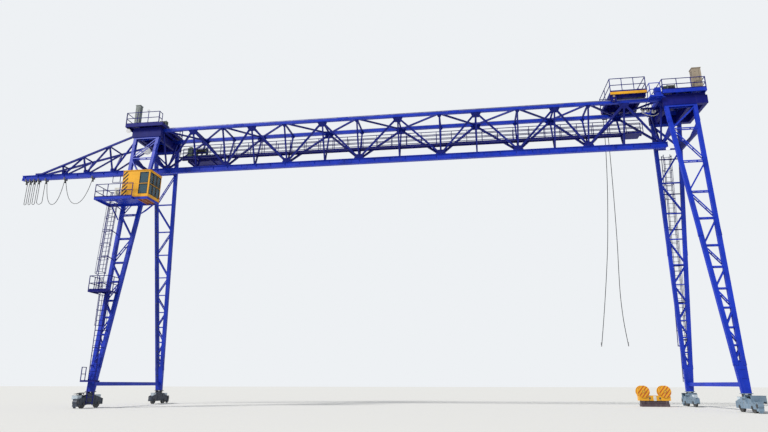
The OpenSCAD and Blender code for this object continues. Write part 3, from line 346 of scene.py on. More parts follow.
def boltTree():
    # A hexagon head on a washer at every point, turned to face its "facing" value
    tree, inputs = startTree("bolt heads", {"Head Radius": 0.01, "Head Height": 0.01})
    facing = addNode(tree, "GeometryNodeInputNamedAttribute", {"Name": "facing"},
                     data_type="FLOAT_VECTOR")
    turn = addNode(tree, "FunctionNodeAlignRotationToVector", {"Vector": facing}, axis="Z")
    head, washer = [addNode(tree, "GeometryNodeMeshCylinder", {
        "Vertices": sides, "Radius": inputs["Head Radius"], "Depth": inputs["Head Height"]})
        for sides in (6, 10)]
    flat = addNode(tree, "GeometryNodeTransform", {
        "Geometry": washer, "Scale": (1.35, 1.35, 0.5)})
    joined = addNode(tree, "GeometryNodeJoinGeometry", {0: [head, flat]})
    return endTree(tree, inputs, addNode(tree, "GeometryNodeInstanceOnPoints", {
        "Points": inputs["Geometry"], "Instance": joined, "Rotation": turn}))


def barTree():
    # A round bar along every edge line
    tree, inputs = startTree("bars on lines", {"Radius": 0.01, "Sides": 8})
    lines = addNode(tree, "GeometryNodeMeshToCurve", {"Mesh": inputs["Geometry"]})
    ring = addNode(tree, "GeometryNodeCurvePrimitiveCircle", {
        "Resolution": inputs["Sides"], "Radius": inputs["Radius"]})
    return endTree(tree, inputs, addNode(tree, "GeometryNodeCurveToMesh", {
        "Curve": lines, "Profile Curve": ring, "Fill Caps": True}))


def gratingTree():
    # Upright bars side by side, with thinner rods across them
    tree, inputs = startTree("grating", {"Length": 1.0, "Width": 1.0, "Pitch": 0.04,
                                         "Bar": 0.005, "Rods": 1.0})

    def addRow(run, reach, gap, thick, high, along, across):
        count = addNode(tree, "ShaderNodeMath", {0: run, 1: gap}, operation="DIVIDE")
        half = addNode(tree, "ShaderNodeMath", {0: gap, 1: 0.5}, operation="MULTIPLY")
        mid = addNode(tree, "ShaderNodeMath", {0: reach, 1: 0.5}, operation="MULTIPLY")
        start, offset, shift, size = [addNode(tree, "ShaderNodeCombineXYZ", axes) for axes in (
            {along: half}, {along: gap}, {across: mid},
            {along: thick, across: reach, "Z": high})]
        line = addNode(tree, "GeometryNodeMeshLine", {
            "Count": count, "Start Location": start, "Offset": offset}, mode="OFFSET")
        cube = addNode(tree, "GeometryNodeMeshCube", {"Size": size})
        bar = addNode(tree, "GeometryNodeTransform", {"Geometry": cube, "Translation": shift})
        return addNode(tree, "GeometryNodeInstanceOnPoints", {"Points": line, "Instance": bar})

    high, wide, rod = [addNode(tree, "ShaderNodeMath", {0: a, 1: b}, operation="MULTIPLY")
                       for a, b in ((inputs["Bar"], 3.0), (inputs["Pitch"], 3.0),
                                    (inputs["Bar"], inputs["Rods"]))]
    bars = addRow(inputs["Length"], inputs["Width"], inputs["Pitch"], inputs["Bar"], high,
                  "X", "Y")
    rods = addRow(inputs["Width"], inputs["Length"], wide, rod, rod, "Y", "X")
    return endTree(tree, inputs, addNode(tree, "GeometryNodeJoinGeometry", {0: [bars, rods]}))


def windingTree():
    # Rope wound side by side on a drum that lies along Z
    tree, inputs = startTree("drum winding", {"Turns": 20.0, "Radius": 0.1, "Length": 0.3,
                                              "Rope": 0.012})
    spiral = addNode(tree, "GeometryNodeCurveSpiral", {
        "Resolution": 20, "Rotations": inputs["Turns"], "Start Radius": inputs["Radius"],
        "End Radius": inputs["Radius"], "Height": inputs["Length"]})
    half = addNode(tree, "ShaderNodeMath", {0: inputs["Rope"], 1: 0.5}, operation="MULTIPLY")
    ring = addNode(tree, "GeometryNodeCurvePrimitiveCircle", {"Resolution": 6, "Radius": half})
    return endTree(tree, inputs, addNode(tree, "GeometryNodeCurveToMesh", {
        "Curve": spiral, "Profile Curve": ring, "Fill Caps": True}))


def finTree():
    # Cooling fins that stand out all round a motor that lies along Z
    tree, inputs = startTree("motor fins", {"Count": 24, "Radius": 0.07, "Fin": 0.012,
                                            "Thick": 0.004, "Length": 0.25})
    ring = addNode(tree, "GeometryNodeMeshCircle", {
        "Vertices": inputs["Count"], "Radius": inputs["Radius"]})
    size = addNode(tree, "ShaderNodeCombineXYZ", {
        "X": inputs["Fin"], "Y": inputs["Thick"], "Z": inputs["Length"]})
    fin = addNode(tree, "GeometryNodeMeshCube", {"Size": size})
    turn = addNode(tree, "FunctionNodeAlignRotationToVector", {
        "Vector": addNode(tree, "GeometryNodeInputPosition")}, axis="X")
    return endTree(tree, inputs, addNode(tree, "GeometryNodeInstanceOnPoints", {
        "Points": ring, "Instance": fin, "Rotation": turn}))


trees = {"bolts": boltTree(), "bars": barTree(), "grating": gratingTree(),
         "winding": windingTree(), "fins": finTree()}
print("node trees made:", ", ".join(trees))


# Pieces: meshes are gathered under a name and handed to a body at the end

gathered = {}


def shapeOf(piece, finish, body="crane"):
    return gathered.setdefault(
        piece, {"shape": bmesh.new(), "finish": finish, "body": body})["shape"]


def runTree(kind, piece, finish, body, values, place=None, source=None):
    # source is a mesh or None, place is a matrix put on the result
    mesh = source or bpy.data.meshes.new("seed")
    obj = addObject("maker", mesh)
    modifier = obj.modifiers.new("maker", "NODES")
    modifier.node_group = trees[kind]
    given = {**values, "Finish": finishes[finish]}
    for item in trees[kind].interface.items_tree:
        if item.in_out == "INPUT" and item.name in given:
            modifier[item.identifier] = given[item.name]
    made = bpy.data.meshes.new_from_object(
        obj.evaluated_get(bpy.context.evaluated_depsgraph_get()))
    bpy.data.objects.remove(obj)
    bpy.data.meshes.remove(mesh)
    made.transform(place or Matrix.Identity(4))
    shapeOf(piece, finish, body).from_mesh(made)
    bpy.data.meshes.remove(made)


def addBlock(shape, low, high, bevel=0.003, turn=None):
    # low and high are any two opposite corners, turn is about the middle
    made = bmesh.ops.create_cube(shape, size=1.0)["verts"]
    size = [abs(b - a) for a, b in zip(low, high)]
    mid = Vector([(a + b) / 2 for a, b in zip(low, high)])
    for v in made:
        v.co = Vector(v.co[k] * size[k] for k in range(3))
    if bevel:
        edges = list({e for v in made for e in v.link_edges})
        made = bmesh.ops.bevel(shape, geom=made + edges, offset=min(bevel, min(size) * 0.3),
                               segments=1, affect="EDGES")["verts"]
    spin = turn or Matrix.Identity(3)
    for v in made:
        v.co = spin @ v.co + mid


def addSlab(shape, x, y, halfX, halfY, z0, z1, bevel=0.003, turn=None):
    addBlock(shape, (x - halfX, y - halfY, z0), (x + halfX, y + halfY, z1), bevel, turn)


def addBar(shape, mid, size, bevel=0.002, turn=None):
    half = Vector(size) / 2
    addBlock(shape, mid - half, mid + half, bevel, turn)


def addRound(shape, start, way, radius, sides=24, endRadius=None):
    # way is the line from the start to the end
    start, way = Vector(start), Vector(way)
    place = Matrix.Translation(start + way / 2) @ way.to_track_quat("Z", "Y").to_matrix().to_4x4()
    bmesh.ops.create_cone(shape, cap_ends=True, segments=sides, radius1=radius,
                          radius2=radius if endRadius is None else endRadius,
                          depth=way.length, matrix=place)


def addFrame(shape, low, high, bar, proud, axis):
    # Four bars round an opening in a wall, axis is the wall's normal
    a, b = [k for k in range(3) if k != axis]
    for side, other in ((a, b), (b, a)):
        for edge in (low[side], high[side]):
            lo, hi = list(low), list(high)
            lo[axis], hi[axis] = lo[axis] - proud, hi[axis] + proud
            lo[side], hi[side] = edge - bar / 2, edge + bar / 2
            lo[other], hi[other] = lo[other] - bar / 2, hi[other] + bar / 2
            addBlock(shape, lo, hi, 0.002)


def addRows(shape, origin, rows, side=1):
    # Rows are in metres from the origin, mirrored in Y for side -1
    # 7 numbers are a block: two opposite corners and the bevel
    # 8 numbers are a round: start, way to the end, radius and number of sides
    for x, y, z, *rest in rows:
        start = Vector(origin) + Vector((x, side * y, z))
        way = (rest[0], side * rest[1], rest[2])
        if len(rest) == 4:
            addBlock(shape, start, Vector(origin) + Vector(way), rest[3])
        else:
            addRound(shape, start, way, *rest[3:])


def addParts(table, origin, body="crane", sides=(1,)):
    for piece, (finish, *rows) in table.items():
        for side in sides:
            addRows(shapeOf(piece, finish, body), origin, rows, side)


barSizes = {                                     # radius, finish, sides
    "legConduits": (0.007, "gear_dark", 8),
    "cabinGrips": (0.008, "dark_blue", 10),
    "cabinGuard": (0.014, "dark_blue", 10),
    "wipers": (0.004, "cable_rubber", 6),
    "fanGuard": (0.0032, "unit_white", 6),
    "coolerPipes": (0.009, "cable_rubber", 8),
    "cabinetEyes": (0.004, "dark_steel", 6),
    "lampArms": (0.011, "dark_steel", 8),
    "trayCables": (0.007, "cable_rubber", 6),
    "guidePipe": (0.016, "unit_white", 10),
}
boltSizes = {                                    # width over corners, height, finish, body
    # Bolts on the web bars take the same darker blue, painted shade
    "webBolts": (0.026, 0.012, "painted_shade_web_blue", "crane"),
    "chordSpliceBolts": (0.024, 0.011, "structure_blue", "crane"),
    "railClipBolts": (0.018, 0.008, "dark_steel", "crane"),
    "legBolts": (0.024, 0.011, "structure_blue", "crane"),
    "lacingBolts": (0.022, 0.01, "structure_blue", "crane"),
    "cabinRivets": (0.012, 0.004, "cabin_yellow", "crane"),
    "winchBolts": (0.022, 0.01, "dark_steel", "crane"),
    "hoistBolts": (0.018, 0.008, "dark_steel", "trolley"),
    "edgeBolts": (0.022, 0.01, "cabin_yellow", "trolley"),
    "leftGearBolts": (0.02, 0.009, "dark_steel", "crane"),
    "rightGearBolts": (0.02, 0.009, "dark_steel", "crane"),
    "traverseBolts": (0.02, 0.009, "dark_steel", "crane"),
}


def addBars(piece, lines):
    radius, finish, sides = barSizes[piece]
    mesh = bpy.data.meshes.new("lines")
    points, edges = [], []
    for line in lines:
        edges += [(len(points) + i, len(points) + i + 1) for i in range(len(line) - 1)]
        points += [tuple(p) for p in line]
    mesh.from_pydata(points, edges, [])
    runTree("bars", piece, finish, "crane", {"Radius": radius, "Sides": sides}, None, mesh)


def addBolts(piece, spots):
    # spots are pairs of a place and the way that the head faces
    width, height, finish, body = boltSizes[piece]
    mesh = bpy.data.meshes.new("spots")
    mesh.from_pydata([tuple(p) for p, _ in spots], [], [])
    facing = mesh.attributes.new("facing", "FLOAT_VECTOR", "POINT")
    facing.data.foreach_set("vector", [c for _, n in spots for c in Vector(n).normalized()])
    runTree("bolts", piece, finish, body, {"Head Radius": width / 2, "Head Height": height},
            None, mesh)


def boltRing(mid, normal, radius, count, first=0):
    # A circle of bolts on a face that looks along X or Y, first is in degrees
    turns = [math.radians(360 / count * n + first) for n in range(count)]
    return [(Vector(mid) + Vector((0, math.cos(a), math.sin(a)) if normal[0] else
                                  (math.cos(a), 0, math.sin(a))) * radius, normal)
            for a in turns]


def steps(start, end, gap):
    return [start + i * gap for i in range(math.ceil((end - start) / gap))]


def smoothLine(points, parts=6):
    # Smooth curve through all the points
    pts = [Vector(p) for p in points]
    out = []
    for i in range(len(pts) - 1):
        p0, p1 = pts[max(i - 1, 0)], pts[i]
        p2, p3 = pts[i + 1], pts[min(i + 2, len(pts) - 1)]
        for k in range(parts):
            t = k / parts
            out.append(0.5 * (2 * p1 + (p2 - p0) * t + (2 * p0 - 5 * p1 + 4 * p2 - p3) * t * t
                              + (3 * p1 - p0 - 3 * p2 + p3) * t ** 3))
    return out + [pts[-1]]


# Places that the part's source also uses, in metres

crane = {
    "left": -7.9, "right": 13.1, "middle": 2.6, "tip": -14.05,
    "railTop": 11.135, "chordTop": 11.095, "chordBottom": 10.975, "lowTop": 9.555,
    "legTop": 10.665, "footZ": 0.54, "wheelBase": 4.6, "legTopY": 0.82,
    "legHalfTop": 0.5, "legHalfFoot": 0.062, "legChord": 0.13,
    "trolley": 11.35,
    "panels": [0.975, 1.35, 1.2, 1.0, 0.975, 0.75, 0.725, 0.625, 0.625, 0.55, 0.48],
    "bays": [1.65, 1.42, 1.59, 1.39, 1.25, 1.3, 1.325],
}
supports = (crane["left"], crane["right"])
legLean = math.atan2(crane["wheelBase"] / 2 - crane["legTopY"],
                     crane["legTop"] - crane["footZ"])
legLength = (crane["legTop"] - crane["footZ"]) / math.cos(legLean)


def onLeg(x, side, u, v, s):
    # u along the bridge, v out of the leg's face, s up along the leg
    a = side * legLean
    return Vector((x + u, side * crane["wheelBase"] / 2 + v * math.cos(a) - s * math.sin(a),
                   crane["footZ"] + v * math.sin(a) + s * math.cos(a)))


def legHalf(s):
    return crane["legHalfFoot"] + (crane["legHalfTop"] - crane["legHalfFoot"]) * s / legLength


# Cords: the festoon cable and the two slack hoist ropes

festoon = {
    "carriers": [5.94, 5.75, 5.56, 5.35, 5.0, 4.1, 2.8],
    "drop": [0.95, 0.95, 0.95, 0.95, 0.98, 1.0],
    "catenary": [0, 0, 0, 0, 0.149, 0.2725],     # 0 where the loop is a plain U
    "saddle": 0.045,
    "diameter": 0.022,
    "top": 9.2187,
    # Rows from a saddle's axis: core, then cheek with its two pins, then end clamp
    "core": [(0, -0.028, 0, 0, 0.056, 0, 0.0335, 24)],
    "cheek": [(-0.018, 0.028, -0.02, 0.018, 0.034, 0.075, 0.001),
              (0, 0.034, 0, 0, 0.01, 0, 0.011, 6), (0, 0.095, 0.1886, 0, 0.009, 0, 0.012, 6)],
    "clamp": [(-0.017, -0.026, 0.027, 0.017, 0.026, 0.0562, 0.003)], "clampShift": 0.005,
}
ropes = {
    "diameter": 0.024,
    "near": [(-0.48, 0.775, 11.06), (-0.482, 0.773, 10.7), (-0.486, 0.77, 10.3),
             (-0.5, 0.765, 9.4), (-0.53, 0.76, 8.2), (-0.57, 0.75, 7.0), (-0.62, 0.74, 5.8),
             (-0.68, 0.73, 4.8), (-0.72, 0.72, 3.9), (-0.71, 0.71, 3.0), (-0.64, 0.7, 2.1)],
    "far": [(-0.6, 0.775, 11.06), (-0.603, 0.774, 10.7), (-0.61, 0.772, 10.3),
            (-0.65, 0.768, 9.4), (-0.73, 0.764, 8.2), (-0.84, 0.76, 7.0), (-0.97, 0.756, 5.8),
            (-1.11, 0.75, 4.8), (-1.25, 0.745, 3.9), (-1.4, 0.74, 3.0), (-1.56, 0.735, 2.1)],
    # low, high and the two radii of the wrapped bands and of the thimble, from the end
    "bands": [(0.05, 0.085, 0.016, 0.016), (0.1, 0.135, 0.016, 0.016),
              (-0.004, 0.03, 0.0175, 0.0135)],
}


def festoonRoute(values):
    r, top = values["saddle"], values["top"]
    last = len(values["carriers"]) - 1
    route = []
    for i, out in enumerate(values["carriers"]):
        x = crane["left"] - out
        for g in range(90 if i == 0 else 0, (90 if i == last else 180) + 1, 30):
            a = math.radians(g)
            route.append((x - r * math.cos(a), 0.0, top - r + r * math.sin(a)))
        if i == last:
            break
        x0, x1 = x + r, crane["left"] - values["carriers"][i + 1] - r
        half, mid, cat = (x1 - x0) / 2, (x0 + x1) / 2, values["catenary"][i]
        if cat:
            low = top - r - cat * (math.cosh(half / cat) - 1)
            for t in (-0.98, -0.92, -0.82, -0.65, -0.42, -0.2, 0, 0.2, 0.42, 0.65, 0.82, 0.92,
                      0.98):
                route.append((mid + half * t, 0.0,
                              low + cat * (math.cosh(half * t / cat) - 1)))
        else:
            side = values["drop"][i] - half
            route += [(x0, 0.0, top - r - side * k) for k in (0.2, 0.5, 0.8)]
            for g in range(0, 181, 30):
                a = math.radians(g)
                route.append((mid - half * math.cos(a), 0.0,
                              top - r - side - half * math.sin(a)))
            route += [(x1, 0.0, top - r - side * k) for k in (0.8, 0.5, 0.2)]
    return route


def makeCord(name, points, diameter, finish, body, replaced, ends=()):
    line = smoothLine(points)
    data = bpy.data.curves.new(name, "CURVE")
    data.dimensions = "3D"
    data.bevel_depth = diameter / 2
    data.bevel_resolution = 2
    data.use_fill_caps = True
    spline = data.splines.new("POLY")
    spline.points.add(len(line) - 1)
    for point, place in zip(spline.points, line):
        point.co = (*place, 1.0)
    data.materials.append(finishes[finish])
    cord = addObject(name, data)
    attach(cord, body)
    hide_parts(replaced)


def ropeEnd(name, place):
    # Seized end: two wrapped bands and a tapered thimble shell
    shape = bmesh.new()
    for low, high, r0, r1 in ropes["bands"]:
        addRound(shape, place + Vector((0, 0, low)), (0, 0, high - low), r0, 14, r1)
    mesh = bpy.data.meshes.new(name)
    shape.to_mesh(mesh)
    shape.free()
    end = addObject(name, mesh)
    setMaterial(end, finishes["dark_steel"])
    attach(end, "trolley")
    return end


makeCord("festoonCable", festoonRoute(festoon), festoon["diameter"], "cable_rubber",
         "crane", "festoon_cable")
for ropeSide in ("near", "far"):
    hung = [(crane["trolley"] + x, y, z) for x, y, z in ropes[ropeSide]]
    makeCord(ropeSide + "HoistRope", hung, ropes["diameter"], "rope_steel", "trolley",
             ropeSide + "_hoist_rope",
             [ropeEnd(ropeSide + "RopeEnd", Vector(hung[-1]))])
print("cords laid")


# Bridge: bolts on the web bars, splices of the chords, rail heads and thin strips on the flange
# edges, both in steel lightened to pale lilac as a painted glint

bridge = {
    "webLowY": 0.052, "webTopY": 0.625, "webThick": 0.06,
    "spliceAt": [-6.6, -2.2, 2.2, 6.6],          # from mid span
    "splices": [                                 # face, half length, z, bolt rows, spread
        (0.6875, 0.21, 10.985, 11.085, (11.01, 11.06), 1.0),
        (0.045, 0.24, 9.365, 9.52, (9.395, 9.49), 1.15),
    ],
    "plate": 0.008,
    "stiffeners": (0.12, 12.6, 0.62),            # from the tip, to, step
    "stiffener": [(-0.004, 0.045, 9.44, 0.004, 0.073, 9.539, 0)],
    "monorailStop": [(0.01, 0.03, 9.347, 0.035, 0.075, 9.44, 0.003)],
    "boltRow": (-0.18, -0.12, -0.06, 0.06, 0.12, 0.18),
    "rail": (-7.134, 12.459), "railHead": (0.042, 0.038),
    "clips": (-6.95, 12.4, 0.62),
}
webRise = crane["chordBottom"] - crane["lowTop"]
webLean = math.atan2(bridge["webTopY"] - bridge["webLowY"], webRise)
webLength = webRise / math.cos(webLean)
stations = [sum(crane["bays"][:i]) for i in range(len(crane["bays"]) + 1)]


def onWeb(side, x, v, out):
    y = bridge["webLowY"] + v * math.sin(webLean) + out * math.cos(webLean)
    return Vector((x, side * y, crane["lowTop"] + v * math.cos(webLean)
                   - out * math.sin(webLean)))


def webBolts(values):
    spots = []
    for side in both:
        for face in both:
            out = face * values["webThick"] / 2
            normal = onWeb(side, 0, 0, face) - onWeb(side, 0, 0, 0)
            flat = []
            for half in both:
                for i in range(len(stations) - 1):
                    a = Vector((half * stations[i], webLength if i % 2 == 0 else 0))
                    b = Vector((half * stations[i + 1], 0 if i % 2 == 0 else webLength))
                    way = (b - a).normalized()
                    across = Vector((-way.y, way.x)) * 0.02
                    flat += [start + way * k + across * row
                             for start, sense in ((a, 1), (b, -1))
                             for k in (0.15 * sense, 0.22 * sense) for row in both]
                flat += [Vector((half * x, v)) for x in stations[1:]
                         for v in (0.07, 0.13, webLength - 0.13, webLength - 0.07)]
            spots += [(onWeb(side, crane["middle"] + p.x, p.y, out), normal) for p in flat]
    addBolts("webBolts", spots)


def chordSplices(values):
    plates = shapeOf("chordSplices", "structure_blue")
    thick = values["plate"]
    spots = []
    for at in values["spliceAt"]:
        x = crane["middle"] + at
        for side in both:
            for face, half, z0, z1, rows, spread in values["splices"]:
                y = side * (face + thick)
                addBlock(plates, (x - half, side * face, z0), (x + half, y, z1))
                spots += [((x + k * spread, y, z), (0, side, 0))
                          for k in values["boltRow"] for z in rows]
    addBolts("chordSpliceBolts", spots)
    first, last, gap = values["stiffeners"]
    for side in both:
        for x in steps(crane["tip"] + first, last, gap):
            addRows(plates, (x, 0, 0), values["stiffener"], side)
        addRows(plates, (crane["tip"], 0, 0), values["monorailStop"], side)


def railHeadsAndGlintStrips(values):
    x0, x1 = values["rail"]
    wide, high = values["railHead"]
    flat = crane["chordTop"]
    # The rail heads are worn steel, lightened and tinted lilac as a painted glint
    heads = shapeOf("railHeadsAndGlintStrips", "rail_wear_and_glint")
    clips = shapeOf("railClips", "structure_blue")
    spots = []
    for side in both:
        y = side * values["webTopY"]
        addBlock(heads, (x0, y - wide / 2, crane["railTop"] - high),
                 (x1, y + wide / 2, crane["railTop"] + 0.0001), 0.002)
        # A thin pale strip on the edge of the flat bar that the rail lies on, a painted highlight
        # of the sun on the flange edge
        edge = side * (values["webTopY"] + 0.0635)
        addBlock(heads, (x0, edge, flat - 0.026), (x1, edge - side * 0.004, flat + 0.0005), 0)
        for x in steps(*values["clips"]):
            for k in both:
                addSlab(clips, x, y + k * 0.034, 0.02, 0.017, flat, flat + 0.011, 0)
                spots.append(((x, y + k * 0.038, flat + 0.011), (0, 0, 1)))
    addBolts("railClipBolts", spots)


webBolts(bridge)
chordSplices(bridge)
railHeadsAndGlintStrips(bridge)
print("bridge details made")


# Legs: splice flanges, foot bolts, lacing bolts and the conduits

legs = {
    "spliceAt": [0.98, 5.2, 9.7],                # along the leg, from the foot
    "plate": 0.009, "flange": (0.104, 0.36),
    "flangeBolts": ((-0.03, 0.03), (-0.14, -0.08, 0.08, 0.14)),    # across, along
    "seatBolts": (0.115, 0.07), "lacingBolts": (0.0, 0.05),
    "boxStiffeners": (0.42, 0.68), "stiffener": (0.012, 0.016),
    "conduitAt": (0.35, 2.5, 5.0, 7.5, 9.6),
    "clipAt": (0.6, 1.6, 2.6, 3.6, 4.6, 5.6, 6.6, 7.6, 8.6, 9.4),
}
legFace = crane["legChord"] / 2


def legDetails(values):
    plates = shapeOf("legSplices", "structure_blue")
    plate = values["plate"]
    wide, tall = values["flange"]
    across, along = values["flangeBolts"]
    seatX, seatY = values["seatBolts"]
    proud, top = legFace + plate / 2, legFace + plate
    levels = [legLength - 0.045 - sum(crane["panels"][:i])
              for i in range(len(crane["panels"]) + 1)]
    spots, lacing = [], []
    for x in supports:
        for side in both:
            turn = Matrix.Rotation(side * legLean, 3, "X")
            normal = turn @ Vector((0, side, 0))
            for s in values["spliceAt"]:
                for k in both:
                    u = k * legHalf(s)
                    addBar(plates, onLeg(x, side, u, side * proud, s), (wide, plate, tall),
                           0.002, turn)
                    addBar(plates, onLeg(x, side, u + k * proud, 0, s), (plate, wide, tall),
                           0.002, turn)
                    for du in across:
                        for ds in along:
                            spots += [(onLeg(x, side, u + du, side * top, s + ds), normal),
                                      (onLeg(x, side, u + k * top, du, s + ds), (k, 0, 0))]
            # Foot bolts through the seat plate
            spots += [((x + a * seatX, side * crane["wheelBase"] / 2 + b * seatY,
                        crane["footZ"]), (0, 0, 1)) for a in both for b in both]
            # Stiffeners on the plated box of the foot
            for s in values["boxStiffeners"]:
                addBar(plates, onLeg(x, side, 0, side * (legFace + 0.004), s),
                       (legHalf(s) * 2 - 0.02, *values["stiffener"]), 0.002, turn)
            # One bolt pair at each end of every lacing bar, on the outer face
            lacing += [(onLeg(x, side, k * (legHalf(s) - dk), side * legFace, s), normal)
                       for s in levels for k in both for dk in values["lacingBolts"]]
    addBolts("legBolts", spots)
    addBolts("lacingBolts", lacing)


def legConduits(values):
    lines = [[onLeg(crane["left"], 1, -legHalf(s) + u, -legFace - 0.02, s)
              for s in values["conduitAt"]] for u in (0.0, 0.035)]
    lines.append([onLeg(crane["right"], -1, legHalf(s) + 0.02, legFace + 0.02, s)
                  for s in values["conduitAt"]])
    addBars("legConduits", lines)
    clips = shapeOf("conduitClips", "dark_steel")
    for s in values["clipAt"]:
        for x, side, u in ((crane["left"], 1, -legHalf(s) + 0.017),
                           (crane["right"], -1, legHalf(s) + 0.02)):
            addBar(clips, onLeg(x, side, u, -side * (legFace + 0.011), s),
                   (0.08, 0.024, 0.02), 0.001, Matrix.Rotation(side * legLean, 3, "X"))


legDetails(legs)
legConduits(legs)
print("leg details made")


# Decks: bar gratings, and toe boards along the railings

decks = {
    "pitch": 0.045, "bar": 0.004, "rods": 1.4, "toeHigh": 0.05, "toeThick": 0.005,
    "rooms": [                                   # x0, y0, x1, y1, top, finish
        (-6.74, -0.12, 11.91, 0.12, 9.985, "dark_blue"),
        (-6.55, 0.29, -5.19, 0.97, 9.985, "dark_blue"),
        (-8.79, -1.0, -7.2, 1.0, 11.235, "structure_blue"),
        (12.53, -1.0, 14.0, 1.0, 11.235, "structure_blue"),
        (12.06, -1.0, 12.49, -0.72, 11.045, "structure_blue"),
        (-8.22, -2.42, -7.78, -1.48, 7.55, "structure_blue"),
        (-8.72, -2.42, -8.24, -1.98, 7.55, "structure_blue"),
        (-8.41, -2.45, -8.03, -1.89, 4.025, "dark_blue"),
        (-8.12, -2.62, -7.57, -2.41, 0.9, "dark_blue"),
    ],
    "toes": [                                    # x0, y0, x1, y1, foot
        (-8.8, -1.0, -7.36, -1.0, 11.235), (-8.8, 1.0, -7.36, 1.0, 11.235),
        (-8.8, -1.0, -8.8, 1.0, 11.235), (12.525, -1.0, 14.0, -1.0, 11.235),
        (12.525, 1.0, 14.0, 1.0, 11.235), (14.0, -1.0, 14.0, 1.0, 11.235),
        (-8.725, -2.425, -7.23, -2.425, 7.55), (-8.725, -2.425, -8.725, -1.49, 7.55),
        (-8.405, -2.455, -7.685, -2.455, 4.025), (-6.55, 0.985, -5.19, 0.985, 9.985),
    ],
}


def addGrating(piece, finish, body, values, x0, y0, x1, y1, z):
    runTree("grating", piece, finish, body, {
        "Length": x1 - x0, "Width": y1 - y0, "Pitch": values["pitch"], "Bar": values["bar"],
        "Rods": values["rods"]}, Matrix.Translation((x0, y0, z + values["bar"] * 1.5)))


def makeDecks(values):
    for *room, finish in values["rooms"]:
        addGrating("deckGratings" if finish == "structure_blue" else "stairGratings", finish,
                   "crane", values, *room)
    boards = shapeOf("toeBoards", "dark_blue")
    half = values["toeThick"] / 2
    for x0, y0, x1, y1, z in values["toes"]:
        addBlock(boards, (x0 - half, y0 - half, z), (x1 + half, y1 + half, z + values["toeHigh"]),
                 0.001)


makeDecks(decks)
print("gratings laid")


# Stripes: flat sheets cut from an outline and laid on a face

def clipShape(points, normal, limit):
    # Keeps the part of a convex outline where its product with normal is below limit
    out = []
    for a, b in zip(points, points[1:] + points[:1]):
        da, db = a.dot(normal) - limit, b.dot(normal) - limit
        if da <= 0:
            out.append(a)
        if da * db < 0:
            out.append(a + (b - a) * (da / (da - db)))
    return out


def addStripes(shape, outline, pitch, wide, slope, face, outward):
    # face turns a flat point into a place, outward is the unit way off the surface
    normal = Vector((slope, 1.0)).normalized()
    reach = [p.dot(normal) for p in outline]
    at = math.floor(min(reach) / pitch) * pitch
    while at < max(reach):
        sheet = clipShape(clipShape(outline, normal, at + wide), -normal, -at)
        at += pitch
        if len(sheet) < 3:
            continue
        back = [shape.verts.new(face(p)) for p in sheet]
        front = [shape.verts.new(face(p) + outward * 0.0015) for p in sheet]
        made = [shape.faces.new(front), shape.faces.new(back[::-1])]
        for i in range(-1, len(sheet) - 1):
            made.append(shape.faces.new((back[i], back[i + 1], front[i + 1], front[i])))
        bmesh.ops.recalc_face_normals(shape, faces=made)


# Cabin: window seals, door leaf, warning stripes, console, stool

